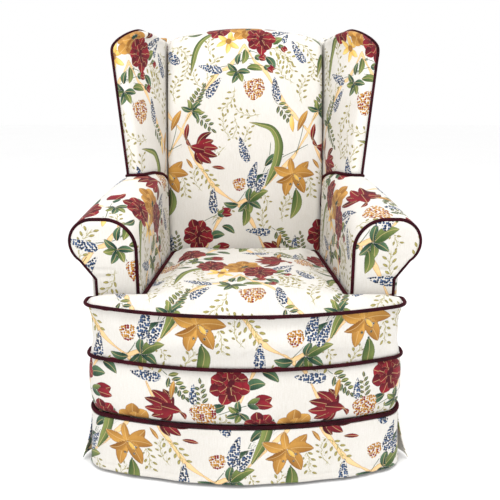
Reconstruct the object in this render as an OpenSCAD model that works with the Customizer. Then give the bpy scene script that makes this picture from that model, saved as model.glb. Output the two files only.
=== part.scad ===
// Upholstered wing armchair with scroll arms, a loose T-shaped seat cushion and a tailored skirt.
// The chair faces -Y, +X is to the right of someone looking at its front, and +Z is up.
// The origin is on the floor, at the centre of the chair's plan.

/* [Overall] */
// Height of the crest of the back above the floor
overall_h = 1066; // [1050:1:1080]
// Width over the two arm rolls
overall_w = 812; // [800:2:820]
// Depth from the front of the seat cushion to the outside back
overall_d = 810; // [804:2:816]

/* [Seat] */
// Height of the top of the seat deck, on which the cushion lies
deck_z = 290; // [286:1:294]
// Half of the width of the base, measured at its front corners
base_half_w = 366; // [360:1:372]
// Angle by which each side of the base turns inward towards the back
side_splay = 7; // [6.5:0.1:7.5]
// Radius of the bowed front
bow_r = 950; // [900:10:1100]
// Radius of the front corners of the base
corner_r = 55; // [45:1:60]
// Height of the cushion from its underside to its upper piping
cushion_h = 133; // [125:1:140]

/* [Arms] */
// Front plane of the arms
arm_front_y = -258; // [-262:1:-254]
// Height of the arm roll at its front
arm_front_z = 607; // [600:1:615]
// Height of the arm roll where it meets the wing
arm_rear_z = 675; // [670:1:675]
// Half of the clear width between the arms at the front
arm_in_front = 247; // [244:1:250]
// Half of the clear width between the arms at the back
arm_in_rear = 222; // [220:1:224]

/* [Wings and back] */
// Half of the width of the inside back
back_half_w = 228; // [226:1:229]
// Height at which the wings start above the arms
wing_z = 676; // [676:1:680]
// Height of the top of the wings
wing_top_z = 1044; // [1035:1:1050]
// Radius of the rounded front edge of a wing
wing_nose_r = 20; // [16:1:22]

/* [Frame] */
// Height of the underside of the seat rails
rail_z = 150; // [145:1:152]
// Height of the seat rails themselves
rail_h = 112; // [105:1:112]
// Thickness of the seat rails
rail_t = 32; // [25:1:32]
// Thickness of the outside panels
panel_t = 10; // [8:1:10]

/* [Trim] */
// Radius of the piping
pipe_r = 4; // [3:0.5:4]
// Clearance between the hem of the skirt and the floor
hem_z = 10; // [8:1:16]
// Thickness of the lined skirt
skirt_t = 5; // [4:1:6]

/* [Motion] */
// Half of the length that the zip slider travels
zip_half = 185; // [150:1:190]

/* [Hidden] */
$fn = 48;

// Finishes
cloth_color = [0.90, 0.87, 0.80];
cord_color = [0.20, 0.03, 0.06];
wood_color = [0.72, 0.56, 0.38];
steel_color = [0.55, 0.55, 0.58];
foam_color = [0.95, 0.93, 0.85];
web_color = [0.62, 0.50, 0.33];
black_color = [0.08, 0.08, 0.08];

// The smallest gap left between two parts that lie against each other
gap = 0.3;

// Base plan: a bowed front, rounded front corners and splayed sides
front_y = -overall_d / 2 + 10;
side_y0 = -300;
bow_cy = front_y + bow_r;
corner_rho = bow_r - corner_r;
corner_a = side_splay + asin((base_half_w * cos(side_splay) - corner_r
    - (bow_cy - side_y0) * sin(side_splay)) / corner_rho);
corner_x = corner_rho * sin(corner_a);
corner_y = bow_cy - corner_rho * cos(corner_a);

// Outside back plane: it leans back with height
rear_y = overall_d / 2;
rear_top_z = 1040;
rear_rake = 0.056;
post_depth = 40;
back_panel_t = 8;
post_top_z = 1010;
post_x0 = 234;
post_x1 = 268;
back_outer_w = 283;
rail_top = rail_z + rail_h;
base_rear_y = rear_plane(rail_z);

// Front and side rails
rail_front_y = -318;
stump_y = arm_front_y + 2;
stump_d = 40;
stump_x0 = 277;
stump_x1 = 312;

// Arm roll, as values at its front, where it meets the wing, and at its hidden rear end
roll_y = [arm_front_y, 50, 150];
roll_outer = [overall_w / 2, 323, 299];
roll_top = [arm_front_z, arm_rear_z, arm_rear_z];
roll_inner_r = [76, 48, 36];
roll_outer_r = [57, 36, 30];
neck_top = [462, 585, 592];
facing_t = 10;
facing_inset = pipe_r * 2 + gap;

// Seat cushion plan
cush_front_y = -overall_d / 2;
cush_bow_r = 900;
cush_corner_r = 44;
ear_half_w = 370;
ear_rear_y = arm_front_y - facing_t - 4;
cush_rear_y = 140;
cush_rear_r = 26;
cush_side_gap = 3;
cush_z0 = deck_z + 1;
cush_rho = cush_bow_r - cush_corner_r;
ear_a = asin((ear_half_w - cush_corner_r) / cush_rho);
ear_cy = cush_front_y + cush_bow_r - cush_rho * cos(ear_a);
boxing_inset = 2 * pipe_r + gap;
crown_h = 14;
crown_inset = 16;
cover_t = 3;

// The outside back plane at a height
function rear_plane(z) = rear_y - (rear_top_z - z) * rear_rake;

// The outside face of a side of the base at a depth
function side_x(y) = base_half_w - (y - side_y0) * tan(side_splay);

// The inside face of an arm at a depth
function arm_in(y) = arm_in_front + (y - arm_front_y)
    * (arm_in_rear - arm_in_front) / (roll_y[2] - arm_front_y);

// The mirror image of a half outline, joined to it into a closed one
function both_halves(half) = concat(half, [for (i = [len(half) - 1:-1:0]) [-half[i][0], half[i][1]]]);

// The base plan, grown outward by g
function base_plan(g) = both_halves(concat(
    [for (i = [0:7]) let (a = (i + 0.5) * corner_a / 8)
        [(bow_r + g) * sin(a), bow_cy - (bow_r + g) * cos(a)]],
    [for (i = [0:6]) let (a = -90 + corner_a + i * (90 - corner_a + side_splay) / 6)
        [corner_x + (corner_r + g) * cos(a), corner_y + (corner_r + g) * sin(a)]],
    [[side_x(base_rear_y + g) + g / cos(side_splay), base_rear_y + g]]));

// The T-shaped cushion plan, grown outward by g
function cushion_plan(g) = both_halves(concat(
    [for (i = [0:7]) let (a = (i + 0.5) * ear_a / 8)
        [(cush_bow_r + g) * sin(a), cush_front_y + cush_bow_r - (cush_bow_r + g) * cos(a)]],
    [for (i = [0:5]) let (a = -90 + ear_a + i * (90 - ear_a) / 6)
        [ear_half_w - cush_corner_r + (cush_corner_r + g) * cos(a),
            ear_cy + (cush_corner_r + g) * sin(a)]],
    [[ear_half_w + g, ear_rear_y + g - 8], [ear_half_w + g - 8, ear_rear_y + g]],
    [[arm_in(ear_rear_y) - cush_side_gap + g, ear_rear_y + g]],
    [for (i = [0:4]) let (a = i * 90 / 4)
        [arm_in(cush_rear_y) - cush_side_gap - cush_rear_r + (cush_rear_r + g) * cos(a),
            cush_rear_y - cush_rear_r + (cush_rear_r + g) * sin(a)]]));

// A value between those at the three stations of the arm roll
function at_station(list, y) = lookup(y, [for (i = [0:2]) [roll_y[i], list[i]]]);

// The outline of the arm in the X-Z plane at a depth, from its inner foot over the roll to its
// outer foot, drawn inward by d
function arm_outline(y, d, foot_z) = let (
    top = at_station(roll_top, y) - d,
    inner = arm_in(y) + d,
    outer = at_station(roll_outer, y) - d,
    ra = at_station(roll_inner_r, y) - d,
    rb = at_station(roll_outer_r, y) - d,
    neck = min(side_x(y) - panel_t - gap, outer) - d,
    neck_z = at_station(neck_top, y))
    concat([[inner, foot_z]],
        [for (i = [0:6]) let (a = 180 - 15 * i) [inner + ra + ra * cos(a), top - ra + ra * sin(a)]],
        [for (i = [0:8]) let (a = 90 - 18 * i) [outer - rb + rb * cos(a), top - rb + rb * sin(a)]],
        [[neck, neck_z], [neck, foot_z]]);

// Unit vector, and the rings of a round cord along a path
function unit(v) = v / norm(v);
function path_dir(p, i, loop) = let (n = len(p))
    loop ? unit(p[(i + 1) % n] - p[(i + n - 1) % n])
    : unit(p[min(i + 1, n - 1)] - p[max(i - 1, 0)]);
function cord_rings(p, r, ref, sides, loop) = [for (i = [0:len(p) - 1]) let (
    t = path_dir(p, i, loop),
    u = unit(ref - (ref * t) * t),
    v = cross(t, u))
    [for (k = [0:sides - 1]) let (a = 360 * k / sides) p[i] + r * cos(a) * u + r * sin(a) * v]];

// Triangles that close a ring of n points like the rungs of a ladder between its two sides
function cap_rungs(n) = [for (i = [0:floor(n / 2) - 1]) let (j = n - 2 - i)
    each concat(i + 1 < j ? [[i, i + 1, j]] : [], i < j ? [[i, j, j + 1]] : [])];

// A closed skin over rings of equal count, with end caps unless the rings meet in a loop
module skin(rings, loop = false) {
    n = len(rings[0]);
    m = len(rings);
    sides = [for (j = [0:m - (loop ? 1 : 2)], i = [0:n - 1]) let (
        a = j * n + i,
        b = j * n + (i + 1) % n,
        c = ((j + 1) % m) * n + (i + 1) % n,
        d = ((j + 1) % m) * n + i)
        each [[a, c, b], [a, d, c]]];
    first = cap_rungs(n);
    last = [for (f = first) [for (i = [2, 1, 0]) (m - 1) * n + f[i]]];
    caps = loop ? [] : concat(first, last);
    polyhedron(points = [for (r = rings) each r], faces = concat(sides, caps), convexity = 6);
}

// A round cord along a path
module cord(path, r, ref, loop = false, sides = 8) {
    skin(cord_rings(path, r, ref, sides, loop), loop);
}

// The shape on one side: -1 is the left, seen from the front
module on_side(s) {
    if (s > 0) children();
    else mirror([1, 0, 0]) children();
}

// A place on the outside face of the right side of the base, with Y along it
module on_side_face() {
    translate([base_half_w, side_y0, 0]) rotate([0, 0, side_splay]) children();
}

// A slab that follows the rake of the back, between two heights and two offsets from its plane
module raked(z0, z1, d_front, d_rear, x0, x1) {
    translate([x0, 0, 0])
        rotate([90, 0, 90])
            linear_extrude(x1 - x0)
                polygon([[rear_plane(z0) - d_front, z0], [rear_plane(z0) - d_rear, z0],
                    [rear_plane(z1) - d_rear, z1], [rear_plane(z1) - d_front, z1]]);
}

// A rectangular bar between two points, w wide and h high
module bar(p0, p1, w, h) {
    d = p1 - p0;
    flat = norm([d[0], d[1]]);
    translate(p0)
        rotate([0, 0, atan2(d[1], d[0])])
            rotate([0, -atan2(d[2], flat), 0])
                translate([0, -w / 2, -h / 2])
                    cube([norm(d), w, h]);
}

// A band between two plans of the base, which leaves a wall
module base_band(g_in, g_out, z0, z1) {
    translate([0, 0, z0])
        linear_extrude(z1 - z0)
            difference() {
                polygon(base_plan(g_out));
                polygon(base_plan(g_in));
            }
}

// ---------------------------------------------------------------- wooden frame

module front_rail() {
    color(wood_color)
        translate([-346, rail_front_y, rail_z])
            cube([692, rail_t, rail_h]);
}

module rear_rail() {
    color(wood_color)
        raked(rail_z, rail_top, post_depth + back_panel_t, back_panel_t + 6, -post_x0, post_x0);
}

module side_rail(s) {
    color(wood_color)
        on_side(s)
            on_side_face()
                translate([-panel_t - rail_t, 20, rail_z])
                    cube([rail_t, 588, rail_h]);
}

module side_rail_left() { side_rail(-1); }
module side_rail_right() { side_rail(1); }

// Glued triangular blocks in the four corners of the seat frame
block = 62;
block_z = rail_z + 30;
block_h = 60;
front_block_y = rail_front_y + rail_t;
rear_block_y = rear_plane(rail_z) - post_depth - back_panel_t;
rear_block_x = post_x0 - 2;

module corner_block_plan(x, y, turn) {
    translate([x, y, block_z])
        rotate([0, 0, turn])
            linear_extrude(block_h)
                polygon([[0, 0], [block, 0], [0, block]]);
}

module screw_hole_set(r, len) {
    for (s = [-1, 1]) {
        translate([s * (stump_x0 - 22), front_block_y - 14, block_z + block_h / 2])
            rotate([-90, 0, 0]) cylinder(h = len, r = r);
        translate([s * (rear_block_x - 22), rear_block_y + 14, block_z + block_h / 2])
            rotate([90, 0, 0]) cylinder(h = len, r = r);
    }
}

module corner_blocks() {
    color(wood_color)
        difference() {
            union() {
                corner_block_plan(stump_x0, front_block_y, 90);
                mirror([1, 0, 0]) corner_block_plan(stump_x0, front_block_y, 90);
                corner_block_plan(rear_block_x, rear_block_y, 180);
                mirror([1, 0, 0]) corner_block_plan(rear_block_x, rear_block_y, 180);
            }
            screw_hole_set(screw_r + 0.05, screw_len);
        }
}

screw_r = 2.5;
screw_len = 50;

// Screws that hold the corner blocks to the rails, with their heads sunk in the blocks
module corner_block_screws() {
    color(steel_color)
        for (s = [-1, 1]) {
            translate([s * (stump_x0 - 22), front_block_y + gap, block_z + block_h / 2])
                rotate([-90, 0, 0]) cylinder(h = 34, r = screw_r);
            translate([s * (rear_block_x - 22), rear_block_y - gap, block_z + block_h / 2])
                rotate([90, 0, 0]) cylinder(h = 34, r = screw_r);
        }
}

leg_w = 46;
glide_h = 4;
front_leg_x = 306;
front_leg_y = -282;

// Square front legs that taper to the floor, hidden by the skirt
module front_legs() {
    color(wood_color)
        for (s = [-1, 1])
            translate([s * front_leg_x, front_leg_y, glide_h])
                rotate([0, 0, 45])
                    cylinder(h = rail_z - glide_h, r1 = leg_w * 0.5, r2 = leg_w * 0.707, $fn = 4);
}

rear_leg_y = rear_plane(rail_z) - 18;

// Nylon glides, one under each leg
module glides() {
    color(black_color)
        for (s = [-1, 1]) {
            translate([s * front_leg_x, front_leg_y, 0]) cylinder(h = glide_h, r = 12);
            translate([s * (post_x0 + post_x1) / 2, rear_leg_y, 0]) cylinder(h = glide_h, r = 12);
        }
}

// A back post and its rear leg, sawn from one piece
module back_post(s) {
    off0 = post_depth + back_panel_t;
    off1 = back_panel_t;
    color(wood_color)
        on_side(s)
            translate([post_x0, 0, 0])
                rotate([90, 0, 90])
                    linear_extrude(post_x1 - post_x0)
                        polygon([[rear_leg_y - 16, glide_h], [rear_leg_y + 16, glide_h],
                            [rear_plane(rail_z) - off1, rail_z],
                            [rear_plane(post_top_z) - off1, post_top_z],
                            [rear_plane(post_top_z) - off0, post_top_z],
                            [rear_plane(rail_z) - off0, rail_z]]);
}

module back_post_left() { back_post(-1); }
module back_post_right() { back_post(1); }

// Top rail of the back
module crest_rail() {
    color(wood_color)
        raked(post_top_z - 60, post_top_z, post_depth + back_panel_t, back_panel_t + 12,
            -post_x0, post_x0);
}

// Lower back rail, to which the inside back cover is tacked
module tacking_rail() {
    color(wood_color)
        raked(340, 385, post_depth + back_panel_t, back_panel_t + 12, -post_x0, post_x0);
}

// The arm board runs from the front stump to the back post, inside the roll
board_w = 44;
board_h = 24;
board_front = [318, arm_front_y + 6, 540];
board_rear = [253, rear_plane(636) - post_depth - back_panel_t - 7, 636];

module arm_board_shape() {
    bar(board_front, board_rear, board_w, board_h);
}

module arm_board(s) {
    color(wood_color) on_side(s) arm_board_shape();
}

module arm_board_left() { arm_board(-1); }
module arm_board_right() { arm_board(1); }

module stump_shape() {
    difference() {
        translate([stump_x0, stump_y, rail_z])
            cube([stump_x1 - stump_x0, stump_d, 391]);
        arm_board_shape();
    }
}

module arm_stump(s) {
    color(wood_color)
        on_side(s)
            intersection() {
                stump_shape();
                translate([0, -overall_d / 2, 0]) cube([overall_w, overall_d, 536]);
            }
}

module arm_stump_left() { arm_stump(-1); }
module arm_stump_right() { arm_stump(1); }

wing_foot = [284, 62, 600];
wing_head = [317, 124, 962];
wing_rail_t = 20;
wing_rail_h = 42;

module wing_post_shape() {
    difference() {
        bar(wing_foot, wing_head, 26, 20);
        arm_board_shape();
    }
}

module wing_post(s) {
    color(wood_color) on_side(s) wing_post_shape();
}

module wing_post_left() { wing_post(-1); }
module wing_post_right() { wing_post(1); }

module wing_rail_shape() {
    bar([318, 112, 984.5], [264, rear_plane(984) - post_depth - back_panel_t - 3, 984.5],
        wing_rail_t, wing_rail_h);
}

module wing_rail(s) {
    color(wood_color) on_side(s) wing_rail_shape();
}

module wing_rail_left() { wing_rail(-1); }
module wing_rail_right() { wing_rail(1); }

// ---------------------------------------------------------------- suspension

spring_x = [-168, -84, 0, 84, 168];
spring_wire_r = 1.9;
spring_z = rail_top + 4.2;
spring_y0 = rail_front_y + rail_t / 2;
spring_y1 = rear_plane(rail_top) - post_depth - back_panel_t + 18;
spring_bars = 14;
spring_half_w = 23;
clip_w = 14;
clip_h = 7.4;
spring_pitch = (spring_y1 - spring_y0) / spring_bars;

// The route of a sinuous spring: bars across it, joined by half loops on alternate sides
function spring_path(x) = concat(
    [[x - spring_half_w, spring_y0, spring_z]],
    [for (i = [0:spring_bars - 1]) let (s = i % 2 == 0 ? 1 : -1)
        for (k = [0:4]) let (a = -90 + 45 * k)
            [x + s * (spring_half_w - spring_pitch / 2 + spring_pitch / 2 * cos(a)),
                spring_y0 + spring_pitch * (i + 0.5 + 0.5 * sin(a)), spring_z]],
    [[x + (spring_bars % 2 == 0 ? 1 : -1) * spring_half_w, spring_y1, spring_z]]);

module seat_springs() {
    color(steel_color)
        for (x = spring_x)
            cord(spring_path(x), spring_wire_r, [0, 0, 1], false, 6);
}

// Steel clips that hold the straight ends of the springs on the rails
module spring_clips() {
    color(steel_color)
        for (x = spring_x, end = [[spring_y0, -clip_w - 2], [spring_y1, 2]])
            difference() {
                translate([x + end[1], end[0] - 6, rail_top]) cube([clip_w, 12, clip_h]);
                translate([x - 30, end[0], spring_z])
                    rotate([0, 90, 0]) cylinder(h = 60, r = spring_wire_r + 0.05);
            }
}

deck_t = 19;
deck_rear_y = 306;

// Padded deck over the springs, under the loose cushion
module seat_deck() {
    color(cloth_color)
        translate([0, 0, deck_z - deck_t])
            linear_extrude(deck_t)
                polygon([[arm_in(arm_front_y) - gap, arm_front_y], [arm_in_rear - gap, roll_y[2]],
                    [arm_in_rear - gap, deck_rear_y], [gap - arm_in_rear, deck_rear_y],
                    [gap - arm_in_rear, roll_y[2]], [gap - arm_in(arm_front_y), arm_front_y]]);
}

web_t = 2.4;
web_w = 50;

// Jute straps across the back posts
module back_webbing() {
    off = post_depth + back_panel_t;
    color(web_color)
        for (z = [440, 560, 680, 800])
            raked(z, z + web_w, off + web_t, off, 8 - post_x1, post_x1 - 8);
}

dust_t = 1.5;

// Black cloth tacked under the rails
module dust_cover() {
    color(black_color)
        difference() {
            translate([0, 0, rail_z - dust_t]) linear_extrude(dust_t) polygon(base_plan(-26));
            for (s = [-1, 1]) {
                translate([s * front_leg_x - leg_w / 2 - 1, front_leg_y - leg_w / 2 - 1, 0])
                    cube([leg_w + 2, leg_w + 2, rail_z + 1]);
                translate([s * (post_x0 + post_x1) / 2 - 24, rear_leg_y - 36, 0])
                    cube([48, 80, rail_z + 1]);
            }
        }
}

// ---------------------------------------------------------------- upholstery

pad_off = post_depth + back_panel_t + web_t + gap;
crest_edge_z = 1032;

// Inside back: a raked pad with a soft lumbar curve, rolled over the crest rail
module inside_back() {
    color(cloth_color)
        intersection() {
            translate([-back_half_w, 0, 0])
                rotate([90, 0, 90])
                    linear_extrude(2 * back_half_w)
                        polygon([[roll_y[2] + gap, deck_z + 2], [roll_y[2] + gap, 470], [163, 620], [190, 760],
                            [224, 900], [250, 990], [272, 1034], [300, 1058], [335, overall_h],
                            [370, 1062], [392, 1048],
                            [rear_plane(post_top_z) - back_panel_t - gap, post_top_z + 2],
                            [rear_plane(post_top_z) - pad_off, post_top_z + 2],
                            [rear_plane(deck_z) - pad_off, deck_z + 2]]);
            translate([0, overall_d, 0])
                rotate([90, 0, 0])
                    linear_extrude(2 * overall_d)
                        crest_outline(0, deck_z, 0);
        }
}

// Outline of the back in the X-Z plane: straight sides under a shallow arc
module crest_outline(grow, z0, drop) {
    half = back_half_w + grow;
    rise = overall_h - crest_edge_z;
    r = (half * half + rise * rise) / (2 * rise);
    intersection() {
        translate([-half, z0]) square([2 * half, overall_h - drop - z0]);
        translate([0, overall_h - drop - r]) circle(r = r, $fn = 180);
    }
}

// Outside back: a flat panel from the crest to the bottom of the rails
module outside_back() {
    color(cloth_color)
        intersection() {
            raked(rail_z + 8, rear_top_z, back_panel_t, 0, -300, 300);
            translate([0, overall_d, 0])
                rotate([90, 0, 0])
                    linear_extrude(2 * overall_d)
                        crest_outline(back_outer_w - back_half_w, rail_z, overall_h - rear_top_z);
        }
}

// How far up a wing a height is, from 0 at the arm to 1 near the top
function wing_t(z) = (z - wing_z) / (1000 - wing_z);

// Centre of the rounded front edge of a wing at a height; it draws back over the top
function nose(z) = let (t = wing_t(z), over = max(0, z - 985) / (wing_top_z - 985))
    [292 + 44 * min(t, 1) - 46 * over * over, 14 + 84 * min(t, 1) + 60 * over * over];

// Outline of a wing at a height: the seam, the rounded nose, then the outside back to the post
function wing_ring(z) = let (
    t = wing_t(z),
    c = nose(z),
    seam = [back_half_w + 1 + 7 * min(t, 1), 150 + 85 * min(t, 1)],
    rear = rear_plane(z) - pad_off,
    turn = atan2(seam[1] - c[1], seam[0] - c[0]))
    concat([[seam[0], seam[1], z]],
        [for (i = [0:6]) let (a = turn + 90 + i * 25)
            [c[0] + wing_nose_r * cos(a), c[1] + wing_nose_r * sin(a), z]],
        [[wing_outer_rear(t), rear, z], [seam[0], rear, z]]);
function wing_outer_rear(t) = back_outer_w + 4 * min(t, 1) - outer_t;
outer_t = 6;

wing_levels = [wing_z, 760, 840, 915, 985, 1006, 1022, 1035, wing_top_z];

module wing(s) {
    color(cloth_color)
        on_side(s)
            difference() {
                skin([for (z = wing_levels) [for (p = wing_ring(z)) p]]);
                bar(wing_foot, wing_head, 26, 20);
                wing_rail_shape();
            }
}

module wing_left() { wing(-1); }
module wing_right() { wing(1); }

outer_levels = [wing_z, 730, 790, 850, 915, 980];

// Outside wing: a thin stiff panel that closes the outer face of the wing
module outside_wing(s) {
    color(cloth_color)
        on_side(s)
            skin([for (z = outer_levels) let (
                c = nose(z),
                x0 = c[0] + wing_nose_r + gap + 1,
                x1 = wing_outer_rear(wing_t(z)) + gap + 1,
                rear = rear_plane(z) - back_panel_t - gap)
                [[x0, c[1], z], [x0 + outer_t, c[1], z], [x1 + outer_t, rear, z], [x1, rear, z]]]);
}

module outside_wing_left() { outside_wing(-1); }
module outside_wing_right() { outside_wing(1); }

arm_foot_z = rail_top + gap;
arm_stations = roll_y;

// Arm: the roll, the inside arm and its padding in one soft body
module arm(s) {
    color(cloth_color)
        on_side(s)
            difference() {
                skin([for (y = arm_stations) [for (p = arm_outline(y, 0, arm_foot_z))
                    [p[0], y, p[1]]]]);
                bar(board_front, board_rear, board_w, board_h);
                translate([stump_x0, stump_y, rail_z])
                    cube([stump_x1 - stump_x0, stump_d, 386]);
                bar(wing_foot, wing_head, 26, 20);
            }
}

module arm_left() { arm(-1); }
module arm_right() { arm(1); }

facing_foot_z = deck_z + 2;

// Arm facing: the upholstered scroll-shaped board on the front of an arm
module arm_facing(s) {
    color(cloth_color)
        on_side(s)
            translate([0, arm_front_y - gap, 0])
                rotate([90, 0, 0])
                    linear_extrude(facing_t - gap)
                        polygon(arm_outline(arm_front_y, facing_inset, facing_foot_z));
}

module arm_facing_left() { arm_facing(-1); }
module arm_facing_right() { arm_facing(1); }

// Outside arm: a stiff panel from under the roll to the bottom of the rail
module outside_arm(s) {
    rear = back_panel_t + gap;
    color(cloth_color)
        on_side(s)
            intersection() {
                on_side_face()
                    translate([-panel_t, 20, 0]) cube([panel_t, 690, wing_z]);
                rotate([90, 0, 90])
                    linear_extrude(overall_w)
                        polygon([[side_y0, rail_z + 8], [rear_plane(rail_z + 8) - rear, rail_z + 8],
                            [rear_plane(wing_z) - rear, wing_z - 2],
                            [roll_y[2] + 4, wing_z - 2], [roll_y[2] + 1, neck_top[2]],
                            [roll_y[1], neck_top[1] - 24], [arm_front_y, neck_top[0] - 6],
                            [arm_front_y, rail_top], [side_y0, rail_top]]);
            }
}

module outside_arm_left() { outside_arm(-1); }
module outside_arm_right() { outside_arm(1); }

// Front border: the padded panel under the cushion, which also covers the front of the springs
module front_border() {
    color(cloth_color)
        union() {
            border_slice(rail_z + 2, rail_top + clip_h + gap, rail_front_y - gap);
            border_slice(rail_top + clip_h + gap, deck_z, arm_front_y - gap);
        }
}

module border_slice(z0, z1, rear) {
    translate([0, 0, z0])
        linear_extrude(z1 - z0)
            intersection() {
                polygon(base_plan(0));
                translate([-overall_w / 2, -overall_d]) square([overall_w, overall_d + rear]);
            }
}

// ---------------------------------------------------------------- skirt

skirt_in = 3;
skirt_top_z = rail_z - 1.5;
slit = 5;
rear_corner_x = side_x(base_rear_y);

// The part of the plan between two rays from the centre, as seen from above
module wedge(a0, a1) {
    r = overall_w * 2;
    polygon([[0, 0], [r * cos(a0), r * sin(a0)],
        [r * cos((a0 + a1) / 2), r * sin((a0 + a1) / 2)], [r * cos(a1), r * sin(a1)]]);
}

front_corner_angle = atan2(corner_y - corner_r * 0.72, corner_x + corner_r * 0.70);
rear_corner_angle = atan2(base_rear_y, rear_corner_x);
slit_angle = slit / 4 * 0.45;

module skirt_part(a0, a1) {
    intersection() {
        base_band(skirt_in, skirt_in + skirt_t, hem_z, skirt_top_z);
        linear_extrude(skirt_top_z) wedge(a0 + slit_angle, a1 - slit_angle);
    }
}

module skirt_front() { color(cloth_color) skirt_part(-180 - front_corner_angle, front_corner_angle); }
module skirt_right() { color(cloth_color) skirt_part(front_corner_angle, rear_corner_angle); }
module skirt_back() { color(cloth_color) skirt_part(rear_corner_angle, 180 - rear_corner_angle); }
module skirt_left() { color(cloth_color) mirror([1, 0, 0]) skirt_part(front_corner_angle, rear_corner_angle); }

pleat_half_angle = 4;

// Kick pleats: the lined inserts behind the slits at the four corners
module kick_pleats() {
    color(cloth_color)
        for (a = [front_corner_angle, rear_corner_angle, 180 - rear_corner_angle,
            -180 - front_corner_angle])
            intersection() {
                base_band(skirt_in - 3.5, skirt_in - gap, hem_z + 2, skirt_top_z);
                linear_extrude(skirt_top_z) wedge(a - pleat_half_angle, a + pleat_half_angle);
            }
}

// ---------------------------------------------------------------- piping

// Piping along the outer edge of a wing, from the arm to the top of the back
function wing_edge(g) = concat(
    [for (z = [wing_z + 5, 730, 790, 850, 910, 960, 985, 1006, 1022, 1035]) let (c = nose(z),
        a = 20 + 40 * max(0, z - 985) / 60)
        [c[0] + (wing_nose_r + g) * cos(-a), c[1] - (wing_nose_r + g) * sin(a),
            z + (z > 1000 ? g * 0.6 : 0)]],
    [[306, 136, wing_top_z + pipe_r + 2]],
    [for (k = [0:4]) [290 - 12 * k, 158 + 38 * k, wing_top_z + pipe_r + gap]]);

module wing_piping(s) {
    color(cord_color)
        on_side(s)
            cord(wing_edge(pipe_r + gap), pipe_r, [1, -0.4, 0]);
}

module wing_piping_left() { wing_piping(-1); }
module wing_piping_right() { wing_piping(1); }

// Piping in the joint where the arm roll meets the wing
joint_y = -20;
joint_inner_r = at_station(roll_inner_r, joint_y) + pipe_r + gap;
joint_outer_r = at_station(roll_outer_r, joint_y) + pipe_r + gap;
joint_top = at_station(roll_top, joint_y);
joint_path = concat(
    [for (i = [1:5]) let (a = 180 - 18 * i,
        c = [arm_in(joint_y) + at_station(roll_inner_r, joint_y),
            joint_top - at_station(roll_inner_r, joint_y)])
        [c[0] + joint_inner_r * cos(a), joint_y, c[1] + joint_inner_r * sin(a)]],
    [for (i = [0:5]) let (a = 90 - 18 * i,
        c = [at_station(roll_outer, joint_y) - at_station(roll_outer_r, joint_y),
            joint_top - at_station(roll_outer_r, joint_y)])
        [c[0] + joint_outer_r * cos(a), joint_y, c[1] + joint_outer_r * sin(a)]]);

module arm_joint_piping(s) {
    color(cord_color) on_side(s) cord(joint_path, pipe_r, [0, 1, 0]);
}

module arm_joint_piping_left() { arm_joint_piping(-1); }
module arm_joint_piping_right() { arm_joint_piping(1); }

// Piping round an arm facing, between the facing and the edge of the arm
module facing_piping(s) {
    color(cord_color)
        on_side(s)
            cord([for (p = arm_outline(arm_front_y, pipe_r, facing_foot_z))
                [p[0], arm_front_y - pipe_r - gap, p[1]]], pipe_r, [0, 1, 0]);
}

module facing_piping_left() { facing_piping(-1); }
module facing_piping_right() { facing_piping(1); }

// Piping round the base, above the skirt
module base_piping() {
    color(cord_color)
        cord([for (p = base_plan(pipe_r + gap)) [p[0], p[1], rail_z + pipe_r + 0.5]],
            pipe_r, [0, 0, 1], true);
}

// ---------------------------------------------------------------- seat cushion

cush_top_z = cush_z0 + cushion_h;
cover_rear_y = cush_rear_y - boxing_inset;
zip_z = cush_z0 + cushion_h / 2;
tape_t = 1.5;
zip_slit = 16;

module cushion_slab(g, z0, z1) {
    translate([0, 0, z0]) linear_extrude(z1 - z0) polygon(cushion_plan(g));
}

// Foam block with a crowned top
module cushion_core() {
    color(foam_color)
        union() {
            cushion_slab(-boxing_inset - cover_t, cush_z0 + cover_t, cush_top_z - cover_t);
            cushion_slab(-crown_inset - cover_t, cush_top_z - cover_t, cush_top_z + crown_h - cover_t);
        }
}

// Cover with its top panel, bottom panel and boxing round the foam, open along the zip
module cushion_cover() {
    color(cloth_color)
        difference() {
            union() {
                cushion_slab(-boxing_inset, cush_z0, cush_top_z);
                cushion_slab(-crown_inset, cush_top_z, cush_top_z + crown_h);
            }
            cushion_slab(-boxing_inset - cover_t, cush_z0 + cover_t, cush_top_z - cover_t);
            cushion_slab(-crown_inset - cover_t, cush_top_z - 2 * cover_t,
                cush_top_z + crown_h - cover_t);
            translate([-zip_half, cover_rear_y - 2 * cover_t, zip_z - zip_slit / 2])
                cube([2 * zip_half, 3 * cover_t, zip_slit]);
        }
}

module cushion_piping(z) {
    color(cord_color)
        cord([for (p = cushion_plan(-pipe_r)) [p[0], p[1], z]], pipe_r, [0, 0, 1], true);
}

module cushion_piping_top() { cushion_piping(cush_top_z - pipe_r); }
module cushion_piping_bottom() { cushion_piping(cush_z0 + pipe_r + 1); }

// Zip tape sewn into the rear boxing
module cushion_zip_tape() {
    color(cord_color)
        translate([-zip_half - 8, cover_rear_y, zip_z - 14])
            cube([2 * zip_half + 16, tape_t, 28]);
}

// Slider of the zip, at its closed end
module cushion_zip_slider() {
    color(steel_color)
        translate([zip_half - 6, cover_rear_y + tape_t + gap, zip_z - 5])
            difference() {
                cube([12, 4, 10]);
                translate([9, -1, 5]) rotate([-90, 0, 0]) cylinder(h = 6, r = 1.5);
            }
}

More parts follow.
